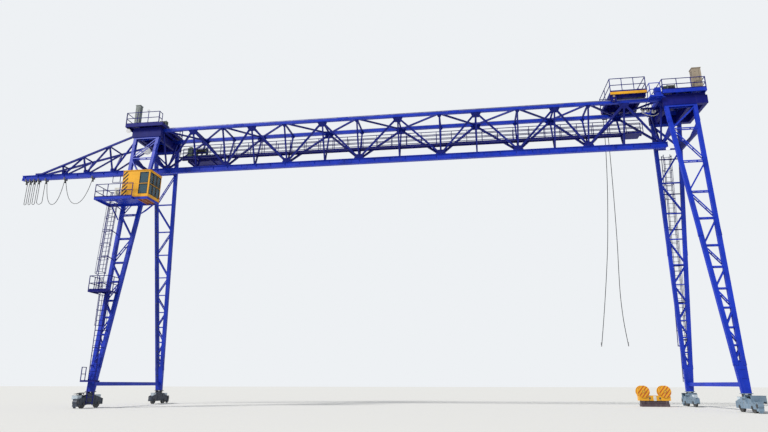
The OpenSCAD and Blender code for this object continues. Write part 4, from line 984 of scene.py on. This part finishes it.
cabin = {
    "low": (-7.765, -2.29, 7.566), "size": (1.085, 0.83, 1.04), "wall": 0.03,
    "windows": ((0.12, 0.5), (0.54, 0.97)),      # sills and heads of the two rows
    "seal": (0.018, 0.005),                      # width, how far it stands proud
    "stripes": (0.115, 0.055), "stripePanel": (0.2, 1.0),
    # Corner angles, edges of the roof, and rails along the two side walls
    "corner": [(-0.006, -0.006, 0, 0.006, 0.006, 1.04, 0.002)],
    "edge": [(-0.02, -0.02, 1.056, 0.02, 0.85, 1.07, 0.003)],
    "rails": [(0, -0.005, 0, 1.085, 0.005, 0.03, 0.002),
              (0, -0.004, 0.515, 1.085, 0.004, 0.53, 0.001),
              (-0.02, -0.02, 1.056, 1.105, 0.02, 1.07, 0.003)],
    "door": {
        "doorLeaf": (
            "cabin_yellow", (0.008, 0, 0, 0.022, 0.328, 0.46, 0.002),
            (0.008, 0, 0.848, 0.022, 0.328, 0.918, 0.002),
            (0.008, 0, 0.46, 0.022, 0.06, 0.848, 0.001),
            (0.008, 0.268, 0.46, 0.022, 0.328, 0.848, 0.001)),
        "doorPane": ("window_glass", (0.013, 0.056, 0.456, 0.017, 0.272, 0.852, 0)),
        # Hinges and handle
        "cabinFittings": (
            "dark_steel", (0, 0.328, 0.1, 0, 0, 0.07, 0.008, 12),
            (0, 0.328, 0.798, 0, 0, 0.07, 0.008, 12),
            (-0.022, 0.04, 0.42, 0, 0.09, 0, 0.006, 10),
            (-0.022, 0.045, 0.42, 0.03, 0, 0, 0.006, 10)),
    },
    "doorAt": (-7.765, -1.874, 7.602),
    "inside": {
        "cabinConsole": (
            "cabinet_grey", (0.785, 0.08, 0, 1.005, 0.22, 0.36, 0.01),
            (0.785, 0.61, 0, 1.005, 0.75, 0.36, 0.01), (0.07, 0.05, 0, 0.3, 0.22, 0.86, 0.008)),
        # Levers
        "cabinFittings": (
            "dark_steel", (0.885, 0.15, 0.36, -0.02, 0, 0.07, 0.006, 8),
            (0.885, 0.68, 0.36, -0.02, 0, 0.07, 0.006, 8)),
        # Seat, back and post, and the knobs of the levers
        "cabinStool": (
            "cable_rubber", (0.605, 0.295, 0.2, 0.845, 0.535, 0.25, 0.02),
            (0.575, 0.305, 0.27, 0.615, 0.525, 0.52, 0.015),
            (0.725, 0.415, 0, 0, 0, 0.2, 0.03, 16),
            (0.865, 0.15, 0.43, -0.002, 0, 0.025, 0.016, 12),
            (0.865, 0.68, 0.43, -0.002, 0, 0.025, 0.016, 12)),
        # Tray under the floor, left in red lead
        "cabinTray": (
            "rusty_floor", (0.56, 0.025, -0.044, 1.06, 0.805, -0.032, 0.002),
            (0.653, 0.025, -0.091, 0.677, 0.805, -0.042, 0.002),
            (0.853, 0.025, -0.091, 0.877, 0.805, -0.042, 0.002)),
    },
    # Grips beside the door, wipers on the panes that look along the bridge
    "gripsAt": (-1.924, -1.516),
    "grip": ((0, 7.952), (-0.04, 7.972), (-0.04, 8.352), (0, 8.372)),
    "wipersAt": (-0.67, -0.417, -0.164), "wiper": ((0.016, 0, -0.49), (0.012, 0.07, -0.26)),
    # Thin guard frame beside the door
    "guard": (((-7.765, -1.93, 8.58), (-8.43, -1.93, 8.58), (-8.43, -1.93, 8.31),
               (-7.765, -1.93, 8.31)), ((-8.12, -1.93, 8.31), (-8.12, -1.93, 8.58))),
}


def makeCabin(values):
    low, size, wall = Vector(values["low"]), Vector(values["size"]), values["wall"]
    high = low + size
    seals = shapeOf("windowSeals", "cable_rubber")
    trim = shapeOf("cabinTrim", "cabin_yellow")
    third = (size.y - 0.07) / 3
    for a, b in values["windows"]:
        for y in (low.y, high.y - wall):
            addFrame(seals, (high.x - 0.4, y, low.z + a), (high.x - 0.06, y + wall, low.z + b),
                     *values["seal"], 1)
        for k in range(3):
            y = low.y + 0.05 + k * third
            addFrame(seals, (high.x - wall, y, low.z + a), (high.x, y + third - 0.03, low.z + b),
                     *values["seal"], 0)
    for x in (0, size.x):
        addRows(trim, low + Vector((x, 0, 0)), values["edge"])
        for y in (0, size.y):
            addRows(trim, low + Vector((x, y, 0)), values["corner"])
    for y in (0, size.y):
        addRows(trim, low + Vector((0, y, 0)), values["rails"])
    # Warning stripes beside the blind part of the near wall
    wide, tall = values["stripePanel"]
    addStripes(shapeOf("warningStripes", "warning_black"),
               [Vector(p) for p in ((0, 0), (wide, 0), (wide, tall), (0, tall))],
               *values["stripes"], -1.0, lambda p: low + Vector((0.01 + p.x, 0, 0.02 + p.y)),
               Vector((0, -1, 0)))
    rivets = [(low + Vector((x, 0, 0.05 + k * 0.09)), (0, -1, 0))
              for x in (0.24, 0.62) for k in range(11)]
    rivets += [(low + Vector((0.62 - k * 0.08, size.y, 0.06)), (0, 1, 0)) for k in range(8)]
    addBolts("cabinRivets", rivets)
    addParts(values["door"], values["doorAt"])
    addBars("cabinGrips", [[(low.x + x, y, z) for x, z in values["grip"]]
                           for y in values["gripsAt"]])
    addBars("cabinGuard", values["guard"])
    addBars("wipers", [[high + Vector((x, at + y, z)) for x, y, z in values["wiper"]]
                       for at in values["wipersAt"]])
    addParts(values["inside"], low)


makeCabin(cabin)
print("cabin fitted out")


# Cooling unit: fan guard, louvres, lid and pipes

cooler = {
    "low": (-8.125, -2.19, 7.55), "fanAt": (0.165, 0, 0.25), "fan": 0.105,
    "rings": (0.03, 0.055, 0.08, 0.105), "blades": 5,
    "louvres": 12, "louvre": [(-0.006, 0.03, 0.05, 0.002, 0.23, 0.062, 0.001)],
    "casing": [(-0.006, -0.006, 0.42, 0.336, 0.266, 0.444, 0.003),
               (0, -0.004, 0.02, 0.33, 0.002, 0.05, 0.001)],
    "pipe": ((0.33, 0.07), (0.36, 0.07), (0.365, 0.15)), "pipesAt": (0.19, 0.16),
}


def makeCooler(values):
    low, fan = Vector(values["low"]), values["fan"]
    mid = low + Vector(values["fanAt"])
    hub = mid - Vector((0, 0.012, 0))

    def onCircle(degrees, r):
        a = math.radians(degrees)
        return Vector((r * math.cos(a), 0, r * math.sin(a)))

    wires = [[hub + onCircle(a, r) for a in range(0, 361, 12)] for r in values["rings"]]
    wires += [[hub - onCircle(a, fan), hub + onCircle(a, fan)] for a in range(0, 180, 30)]
    addBars("fanGuard", wires)
    addRound(shapeOf("fanWell", "cabinet_grey"), mid, (0, -0.003, 0), fan - 0.002, 40)
    blade = shapeOf("fanBlades", "cabinet_grey")
    for k in range(values["blades"]):
        around = Matrix.Rotation(2 * math.pi * k / values["blades"], 3, "Y")
        addBar(blade, mid - Vector((0, 0.0065, 0)) + around @ Vector((0.05, 0, 0)),
               (0.078, 0.002, 0.012), 0, around @ Matrix.Rotation(0.5, 3, "X"))
    box = shapeOf("coolerCasing", "unit_white")
    for k in range(values["louvres"]):
        addRows(box, low + Vector((0, 0, k * 0.028)), values["louvre"])
    addRows(box, low, values["casing"])
    addBars("coolerPipes", [[low + Vector((x, y, z)) for x, z in values["pipe"]]
                            for y in values["pipesAt"]])


makeCooler(cooler)


# Winches and the trolley's hoist: rope on the drums, motor fins, gear cases

winches = {
    "drums": {                                   # piece, radius, from, to, rope
        "bridge": ("bridgeWinding", 0.095, -0.018, 0.362, 0.013),
        "head": ("headWindings", 0.1, -0.055, 0.168, 0.011),
        "hoist": ("hoistWinding", 0.12, -0.303, 0.303, 0.024),
    },
    # Motor fins: how many, radius, height, thickness, length
    "headFins": (22, 0.068, 0.014, 0.004, 0.13), "hoistFins": (26, 0.079, 0.018, 0.005, 0.33),
    "bridgeAt": (-6.0, 0.0, 10.265),
    "bridge": {
        # Gear case ribs, brake drum with its shaft, and the switch box
        "bridgeWinchGear": ("winch_green", *[
            (x, -0.097, -0.215, x + 0.012, 0.097, 0.135, 0.002)
            for x in (-0.426, -0.366, -0.306, -0.246)]),
        "winchSteel": ("dark_steel", (-0.2, 0, 0, 0.13, 0, 0, 0.035, 20),
                       (-0.16, 0, 0, 0.04, 0, 0, 0.07, 28)),
        "winchBox": ("unit_white", (-0.53, 0.33, -0.269, -0.36, 0.5, 0.025, 0.008)),
    },
    "headsAt": [(-7.44, -0.56, 11.235), (12.8, -0.81, 11.235)],
    "head": {
        "winchSteel": ("dark_steel", (0.185, 0, 0.15, 0.03, 0, 0, 0.05, 24)),
        "bridgeWinchGear": ("winch_green", (-0.26, -0.04, 0.2, -0.11, 0.04, 0.235, 0.006)),
    },
    # along, across and height of the bolts that hold the feet
    "bridgeFeet": ((-0.41, -0.25, -0.06, 0.1, 0.25, 0.4), 0.088, -0.23),
    "headFeet": ((-0.24, -0.02, 0.2), 0.105, 0.04),
    "hoistAt": (11.35, 0.0, 11.555),
    "hoist": {
        "hoistCase": (
            "trolley_grey", (-0.28, -0.12, 0.03, -0.2, 0.0, 0.08, 0.008),
            (-0.34, 0.115, -0.035, -0.14, 0.385, -0.02, 0.003),
            *[(-0.336, y, -0.125, -0.144, y + 0.012, 0.075, 0.002)
              for y in (0.144, 0.194, 0.244, 0.294, 0.344)]),
    },
    "hoistFlanges": {"hoistSteel": ("dark_steel", (0, 0.35, 0, 0, 0.025, 0, 0.055, 28),
                                    (0, 0.302, 0, 0, 0.008, 0, 0.15, 40))},
    "hoistFeet": ((-0.3, -0.1, 0.1, 0.3), 0.43, -0.13),
    "caseBolts": [(x, y, 0.09) for y in (0.16, 0.25, 0.34) for x in (-0.32, -0.16)],
}


def alongX(place):
    return Matrix.Translation(place) @ Matrix.Rotation(math.pi / 2, 4, "Y")


def alongY(place):
    return Matrix.Translation(place) @ Matrix.Rotation(-math.pi / 2, 4, "X")


def windDrum(kind, turned, way, body="crane"):
    piece, radius, start, end, rope = winches["drums"][kind]
    runTree("winding", piece, "rope_steel", body, {
        "Turns": (end - start) / rope, "Radius": radius + rope / 2,
        "Length": end - start - rope, "Rope": rope * 1.02},
        turned(Vector(way[0]) + Vector(way[1]) * (start + rope / 2)))


def addFins(piece, finish, body, place, count, radius, fin, thick, length):
    runTree("fins", piece, finish, body, {"Count": count, "Radius": radius, "Fin": fin,
                                          "Thick": thick, "Length": length}, place)


def footBolts(mid, along, across, height):
    return [(mid + Vector((k, s * across, height)), (0, 0, 1)) for k in along for s in both]


def makeWinches(values):
    mid = Vector(values["bridgeAt"])
    windDrum("bridge", alongX, (mid, (1, 0, 0)))
    addParts(values["bridge"], mid)
    spots = footBolts(mid, *values["bridgeFeet"])
    for place in values["headsAt"]:
        mid = Vector(place)
        windDrum("head", alongX, (mid + Vector((0, 0, 0.15)), (1, 0, 0)))
        addFins("headMotorFins", "gear_dark", "crane", alongX(mid + Vector((-0.15, 0, 0.14))),
                *values["headFins"])
        addParts(values["head"], mid)
        spots += footBolts(mid, *values["headFeet"])
    addBolts("winchBolts", spots)


def makeHoist(values):
    mid = Vector(values["hoistAt"])
    windDrum("hoist", alongY, (mid, (0, 1, 0)), "trolley")
    addFins("hoistMotorFins", "trolley_grey", "trolley",
            alongY(mid + Vector((-0.24, -0.06, -0.04))), *values["hoistFins"])
    addParts(values["hoist"], mid, "trolley")
    addParts(values["hoistFlanges"], mid, "trolley", both)
    spots = footBolts(mid, *values["hoistFeet"])
    for s in both:
        spots += boltRing(mid + Vector((0, s * 0.375, 0)), (0, s, 0), 0.04, 6)
    spots += [(mid + Vector(p), (0, 0, 1)) for p in values["caseBolts"]]
    addBolts("hoistBolts", spots)


makeWinches(winches)
makeHoist(winches)
print("winches wound")


# Trolley: deck gratings, toe boards, wheel caps, edge bolts, drives and rope sheaves

trolley = {
    "at": (10.7, 0, 11.385),
    "gratings": ((0.03, 0.28), (1.02, 1.27)), "half": 0.81,
    "sides": {
        "trolleyHubs": ("dark_steel", (0.2, 0.6725, -0.1597, 0, 0.02, 0, 0.034, 20),
                        (1.1, 0.6725, -0.1597, 0, 0.02, 0, 0.034, 20)),
        "trolleyToeBoards": ("dark_blue", (0.03, 0.819, 0, 1.27, 0.825, 0.05, 0.001)),
        "trolleyDrives": ("cabinet_tan", (0.04, 0.7, -0.235, 0.2, 0.79, -0.12, 0.008),
                          (0.12, 0.79, -0.185, 0, 0.04, 0, 0.04, 20)),
        # Rims and pins of the rope sheaves between their cheeks
        "trolleySheaves": (
            "cabinet_tan", (0.11, 0.793, -0.325, 0, 0.003, 0, 0.066, 36),
            (0.11, 0.757, -0.325, 0, -0.003, 0, 0.066, 36),
            (0.11, 0.807, -0.325, 0, 0.014, 0, 0.024, 16),
            (0.11, 0.743, -0.325, 0, -0.014, 0, 0.024, 16)),
    },
    "ends": {"trolleyToeBoards": (
        "dark_blue", (0.025, -0.81, 0, 0.031, 0.81, 0.05, 0.001),
        (1.269, -0.81, 0, 1.275, 0.81, 0.05, 0.001))},
    "edgeBolt": (0.08, 0.85, -0.07), "edgeStep": 0.19,
}


def makeTrolley(values):
    x, y, z = values["at"]
    half = values["half"]
    for a, b in values["gratings"]:
        addGrating("trolleyGrating", "trolley_grey", "trolley", decks,
                   x + a, y - half, x + b, y + half, z)
    bx, by, bz = values["edgeBolt"]
    addBolts("edgeBolts", [((x + bx + k * values["edgeStep"], s * by, z + bz), (0, s, 0))
                           for s in both for k in range(7)])
    addParts(values["sides"], values["at"], "trolley", both)
    addParts(values["ends"], values["at"], "trolley")


makeTrolley(trolley)
print("trolley fitted")


# Running gear: hub caps, bolts, motor fins, rain hoods, sheet covers, boxes
# Rows are from the bogie's middle on the rail's line, those of a drive from its motor's middle

gear = {
    "hubs": ((0.08, 0.4, 0.15), 0.052), "face": 0.074,
    "ribs": [(-0.008, y - 0.007, 0.125, 0.008, y + 0.007, top, 0.002)
             for y, top in ((-0.62, 0.29), (-0.2, 0.385), (0.2, 0.385), (0.62, 0.29))],
    "plateBolts": (-0.55, -0.3, -0.1, 0.1, 0.3, 0.55),
    "sweep": [(-0.05, 0.745, 0.01, 0.05, 0.757, 0.12, 0.003)],
    "junction": [(-0.07, -0.51, 0.302, 0.07, -0.33, 0.43, 0.008),
                 (-0.078, -0.518, 0.43, 0.078, -0.322, 0.438, 0.003)],
    "driveAt": (0.1493, 0.325, 0.34), "fins": (20, 0.078, 0.014, 0.005, 0.26),
    "drive": [(-0.04, -0.05, 0.07, 0.04, 0.05, 0.115, 0.006),
              (-0.008, -0.178, 0.06, 0.008, -0.162, 0.136, 0),
              (-0.008, 0.162, 0.06, 0.008, 0.178, 0.136, 0)],
    "hood": (0.22, 0.4, 0.007), "hoodTilt": 0.22,
    "switchBox": [(-0.2, 0.465, 0.285, 0.03, 0.685, 0.41, 0.01),
                  (-0.208, 0.457, 0.41, 0.038, 0.693, 0.417, 0.003)],
    "cover": [(-0.136, 0.149, 0.472, 0.296, 0.531, 0.479, 0.002),
              (-0.13, 0.155, 0.3, 0.29, 0.161, 0.473, 0.001),
              (-0.13, 0.519, 0.3, 0.29, 0.525, 0.473, 0.001),
              (0.284, 0.155, 0.26, 0.29, 0.525, 0.473, 0.001),
              (0.289, 0.245, 0.27, 0.295, 0.265, 0.46, 0.001),
              (0.289, 0.415, 0.27, 0.295, 0.435, 0.46, 0.001)],
}


def makeBogie(values, mid, s, parts, caps):
    # Caps, pins, ribs and the places of the bolts on both faces of one bogie
    (hx, hy, hz), hub = values["hubs"]
    face, spots = values["face"], []
    for f in both:
        out = Vector((f, 0, 0))
        for k in both:
            at = mid + Vector((f * hx, k * hy, hz))
            addRound(caps, at, out * 0.01, hub, 28)
            spots += boltRing(at + out * 0.01, out, 0.038, 6, 30)
        addRows(parts, mid + out * face, values["ribs"])
        spots += [(mid + Vector((f * face, k, 0.27)), out) for k in values["plateBolts"]]
        # Clamp pins and the lock plates of the rocker
        addRound(caps, mid + Vector((f * 0.115, 0, 0.475)), out * 0.008, 0.038, 20)
        lock = mid + Vector((f * 0.075, s * 0.71, 0.2))
        addRound(caps, lock, out * 0.012, 0.05, 24)
        spots += boltRing(lock + out * 0.001, out, 0.066, 5)
    return spots


def makeGear(values):
    dx, dy, dz = values["driveAt"]
    for x, name, finish in zip(supports, ("left", "right"), ("gear_dark", "gear_grey")):
        parts = shapeOf(name + "GearParts", finish)
        pale = shapeOf(name + "GearBoxes", "pale_box")
        caps = shapeOf("axleCaps", "dark_steel")
        outSide = -1 if name == "left" else 1
        spots = []
        for s in both:
            mid = Vector((x, s * crane["wheelBase"] / 2, 0))
            spots += makeBogie(values, mid, s, parts, caps)
            addRows(parts, mid, values["sweep"], s)
            addRows(pale, mid, values["junction"], s)
            motor = mid + Vector((outSide * dx, s * dy, dz))
            addFins(name + "MotorFins", finish, "crane", alongY(motor), *values["fins"])
            addRows(parts, motor, values["drive"])
            if name == "left":
                # Tilted rain hood, and a pale switch box on the outer end
                addBar(parts, motor + Vector((0, 0, 0.1385)), values["hood"], 0.002,
                       Matrix.Rotation(outSide * values["hoodTilt"], 3, "Y"))
                addRows(pale, mid, values["switchBox"], s)
            else:
                addRows(parts, mid, values["cover"], s)
        addBolts(name + "GearBolts", spots)


makeGear(gear)
print("running gear fitted")


# Hook traverse: warning stripes on its discs, hubs, eyes, strap and bolts

traverse = {
    "at": (11.75, 2.1, 0.21), "discAt": (0.375, 0.144, 0.32), "disc": 0.211, "hub": 0.062,
    "stripes": (0.098, 0.036), "bolts": (-0.5, -0.2, 0.2, 0.5), "face": 0.122,
    "eyes": {"traverseEyes": ("dark_steel", (-0.21, 0.118, 0.05, -0.15, 0.126, 0.12, 0.004),
                              (0.15, 0.118, 0.05, 0.21, 0.126, 0.12, 0.004))},
    "strap": {"traverseStrap": ("unit_white",
                                (-0.05, 0.122, -0.005, 0.05, 0.128, 0.17, 0.001))},
    "strapTop": [(-0.05, -0.128, 0.165, 0.05, 0.128, 0.171, 0.001)],
}


def makeTraverse(values):
    place = Vector(values["at"])
    dx, dy, dz = values["discAt"]
    addParts(values["eyes"], place, "crane", both)
    hubs = shapeOf("traverseHubs", "cabin_yellow")
    marks = shapeOf("traverseMarks", "signal_orange")
    ring = [Vector((math.cos(math.radians(a)), math.sin(math.radians(a)))) * values["disc"]
            for a in range(0, 360, 12)]
    spots = []
    for s in both:
        out = Vector((0, s, 0))
        for k in both:
            mid = place + Vector((k * dx, s * dy, dz))
            addStripes(marks, ring, *values["stripes"], -1.2,
                       lambda p: mid + Vector((p.x, 0, p.y)), out)
            addRound(hubs, mid, out * 0.004, values["hub"], 32)
            spots += boltRing(mid + out * 0.004, out, 0.045, 6)
        spots += [(place + Vector((k, s * values["face"], 0.02)), out) for k in values["bolts"]]
    addParts(values["strap"], place, "crane", both)
    addRows(shapeOf("traverseStrap", "unit_white"), place, values["strapTop"])
    addBolts("traverseBolts", spots)


makeTraverse(traverse)
print("traverse marked")


# Cabinets: doors, louvres, handles, hinges and lifting eyes

cabinets = [
    {"name": "left", "finish": "cabinet_grey", "at": (-8.435, -0.81, 11.235),
     "size": (0.2, 0.19, 0.9)},
    {"name": "right", "finish": "cabinet_tan", "at": (13.805, -0.81, 11.235),
     "size": (0.3, 0.25, 0.85)},
]
cabinetFit = {
    "louvres": 9, "louvreGap": 0.022, "louvre": (0.004, 0.33, 0.011),
    "louvresAt": (0.1, 0.26),                    # from the foot and from the head
    "eye": 0.015, "eyeAt": (0.35, 0.033),
    "door": (0.2, 0.08, 0.09), "proud": 0.01,    # share of the width, foot and head left free
    "hinges": (0.2, 0.5, 0.8), "handle": (0.12, 0.16, 0.5, 0.58),
    "glands": (-0.05, 0, 0.05),
}


def makeCabinet(values, fit):
    x, y, z = values["at"]
    w, d, h = values["size"]
    skin = shapeOf(values["name"] + "CabinetDoors", values["finish"])
    steel = shapeOf("cabinetFittings", "dark_steel")
    front = y - d / 2 - fit["proud"]
    thick, deep, tall = fit["louvre"]
    low, high = fit["louvresAt"]
    r, (across, over) = fit["eye"], fit["eyeAt"]
    for s in both:
        for k in range(fit["louvres"]):
            for foot in (z + low, z + h - high):
                foot += k * fit["louvreGap"]
                addSlab(skin, x + s * w / 2, y, thick, d * deep, foot, foot + tall, 0.001)
        addBars("cabinetEyes", [[(x + s * w * across + r * math.cos(math.radians(a)), y,
                                  z + h + over + r * math.sin(math.radians(a)))
                                 for a in range(0, 361, 30)]])
    share, low, high = fit["door"]
    addBlock(skin, (x - w * share, front - 0.004, z + low), (x + w * share, front, z + h - high),
             0.002)
    for k in fit["hinges"]:
        addRound(steel, (x - w * share, front - 0.006, z + h * k), (0, 0, 0.04), 0.006, 10)
    x0, x1, z0, z1 = fit["handle"]
    addBlock(steel, (x + w * x0, front - 0.016, z + h * z0),
             (x + w * x1, front - 0.004, z + h * z1))
    for k in fit["glands"]:
        addRound(steel, (x + k, y + d * 0.4, z + 0.03), (0, d * 0.1 + 0.03, 0), 0.01, 12)


for cabinetValues in cabinets:
    makeCabinet(cabinetValues, cabinetFit)
print("cabinets fitted")


# Festoon: saddles under the carriers and clamps on the ends of the cable

def makeSaddles(values):
    steel = shapeOf("festoonSaddles", "dark_steel")
    axes = [Vector((crane["left"] - out, 0, values["top"] - values["saddle"]))
            for out in values["carriers"]]
    for axis in axes:
        addRows(steel, axis, values["core"])
        for s in both:
            addRows(steel, axis, values["cheek"], s)
    for axis, s in ((axes[0], -1), (axes[-1], 1)):
        addRows(steel, axis + Vector((s * values["clampShift"], 0, 0)), values["clamp"])


makeSaddles(festoon)


# Lamps: flood lights with their brackets, and the cable tray of the walkway

lamps = [                                        # middle of the lens, way, size, hanger
    ((-8.35, -0.02, 10.43), (0.35, -0.9, -0.25), 0.16, (-8.3, 0.06, 10.68)),
    ((12.72, -0.1, 9.255), (-0.3, -0.9, -0.3), 0.075, (12.69, -0.02, 9.34)),
    ((-7.86, -1.03, 11.8), (0.2, -0.85, -0.5), 0.05, (-7.86, -1.019, 11.74)),
    ((-8.72, -0.93, 10.97), (0.2, -0.85, -0.5), 0.085, (-8.72, -0.9, 11.11)),
]
lampShape = {"deep": 0.5, "shell": (0.98, 0.9, 0.45), "lens": (0.9, 0.003), "arm": 0.7}
tray = {"x": (-6.6, 11.9), "z": 9.996, "cables": (0.168, 0.186, 0.204), "ties": (-2.0, 3.0, 8.0),
        "rungs": 0.5, "rung": [(-0.012, 0.14, 0, 0.012, 0.22, 0.008, 0)],
        "sides": (0.155, 0.217)}


def makeLamps(places, shares):
    shell = shapeOf("lampHousings", "unit_white")
    lens = shapeOf("lampLenses", "lamp_glass")
    deep, (rim, neck, back), (pane, thick) = shares["deep"], shares["shell"], shares["lens"]
    arms = []
    for place, way, size, hanger in places:
        place, way = Vector(place), Vector(way).normalized()
        ring = way * size * deep
        addRound(shell, place, -ring, size, 28, size * rim)
        addRound(shell, place - ring, -way * size, size * neck, 28, size * back)
        addRound(lens, place + way * thick, way * -thick, size * pane, 28)
        arms.append([place - way * size * shares["arm"], Vector(hanger)])
    addBars("lampArms", arms)


def makeTray(values):
    (x0, x1), z = values["x"], values["z"]
    steel = shapeOf("cableTray", "dark_steel")
    addBars("trayCables", [[(x, y, z + 0.016) for x in (x0, *values["ties"], x1 - 0.05)]
                           for y in values["cables"]])
    for x in steps(x0, x1, values["rungs"]):
        addRows(steel, (x, 0, z), values["rung"])
    for y in values["sides"]:
        addBlock(steel, (x0 - 0.02, y - 0.002, z), (x1 - 0.03, y + 0.002, z + 0.03), 0)


makeLamps(lamps, lampShape)
makeTray(tray)


# Guide sheaves under the right end of the bridge, on a bracket of its cross beam

guides = {"beam": (12.0, 12.64, 10.99),
          "wheels": [(12.06, 10.94), (12.24, 10.91), (12.43, 10.86)],
          "wheel": 0.075, "cheek": 0.036,
          "pipe": [(12.64, 0.09, 10.8), (12.52, 0.09, 10.74), (12.4, 0.09, 10.72),
                   (12.26, 0.09, 10.76), (12.12, 0.09, 10.82), (12.0, 0.07, 10.9)]}


def makeGuides(values):
    x0, x1, top = values["beam"]
    steel = shapeOf("guideBracket", "dark_blue")
    wheels = shapeOf("guideSheaves", "unit_white")
    pins = shapeOf("guidePins", "dark_steel")
    for s in both:
        y = s * values["cheek"]
        addBlock(steel, (x0 - 0.03, y - 0.005, top - 0.03), (x1 + 0.001, y + 0.005, top + 0.03),
                 0.002)
        for x, z in values["wheels"]:
            addSlab(steel, x, y, 0.022, 0.004, z - 0.02, top, 0.002)
            addRound(wheels, (x, s * 0.004, z), (0, s * 0.013, 0), values["wheel"] * 0.82, 32,
                     values["wheel"])
    for x, z in values["wheels"]:
        addRound(pins, (x, -0.048, z), (0, 0.096, 0), 0.014, 14)
    addBars("guidePipe", [smoothLine(values["pipe"], 5)])


makeGuides(guides)
print("festoon, lamps and tray fitted")


# Hand over: every gathered shape becomes one object that rides on its body

def finishPieces():
    total = 0
    for name, entry in gathered.items():
        mesh = bpy.data.meshes.new(name)
        entry["shape"].to_mesh(mesh)
        entry["shape"].free()
        mesh.polygons.foreach_set("use_smooth", [True] * len(mesh.polygons))
        mesh.set_sharp_from_angle(angle=math.radians(38))
        obj = addObject(name, mesh)
        setMaterial(obj, finishes[entry["finish"]])
        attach(obj, entry["body"])
        total += sum(len(p.vertices) - 2 for p in mesh.polygons)
    print(len(gathered), "pieces handed over,", total, "triangles")


finishPieces()
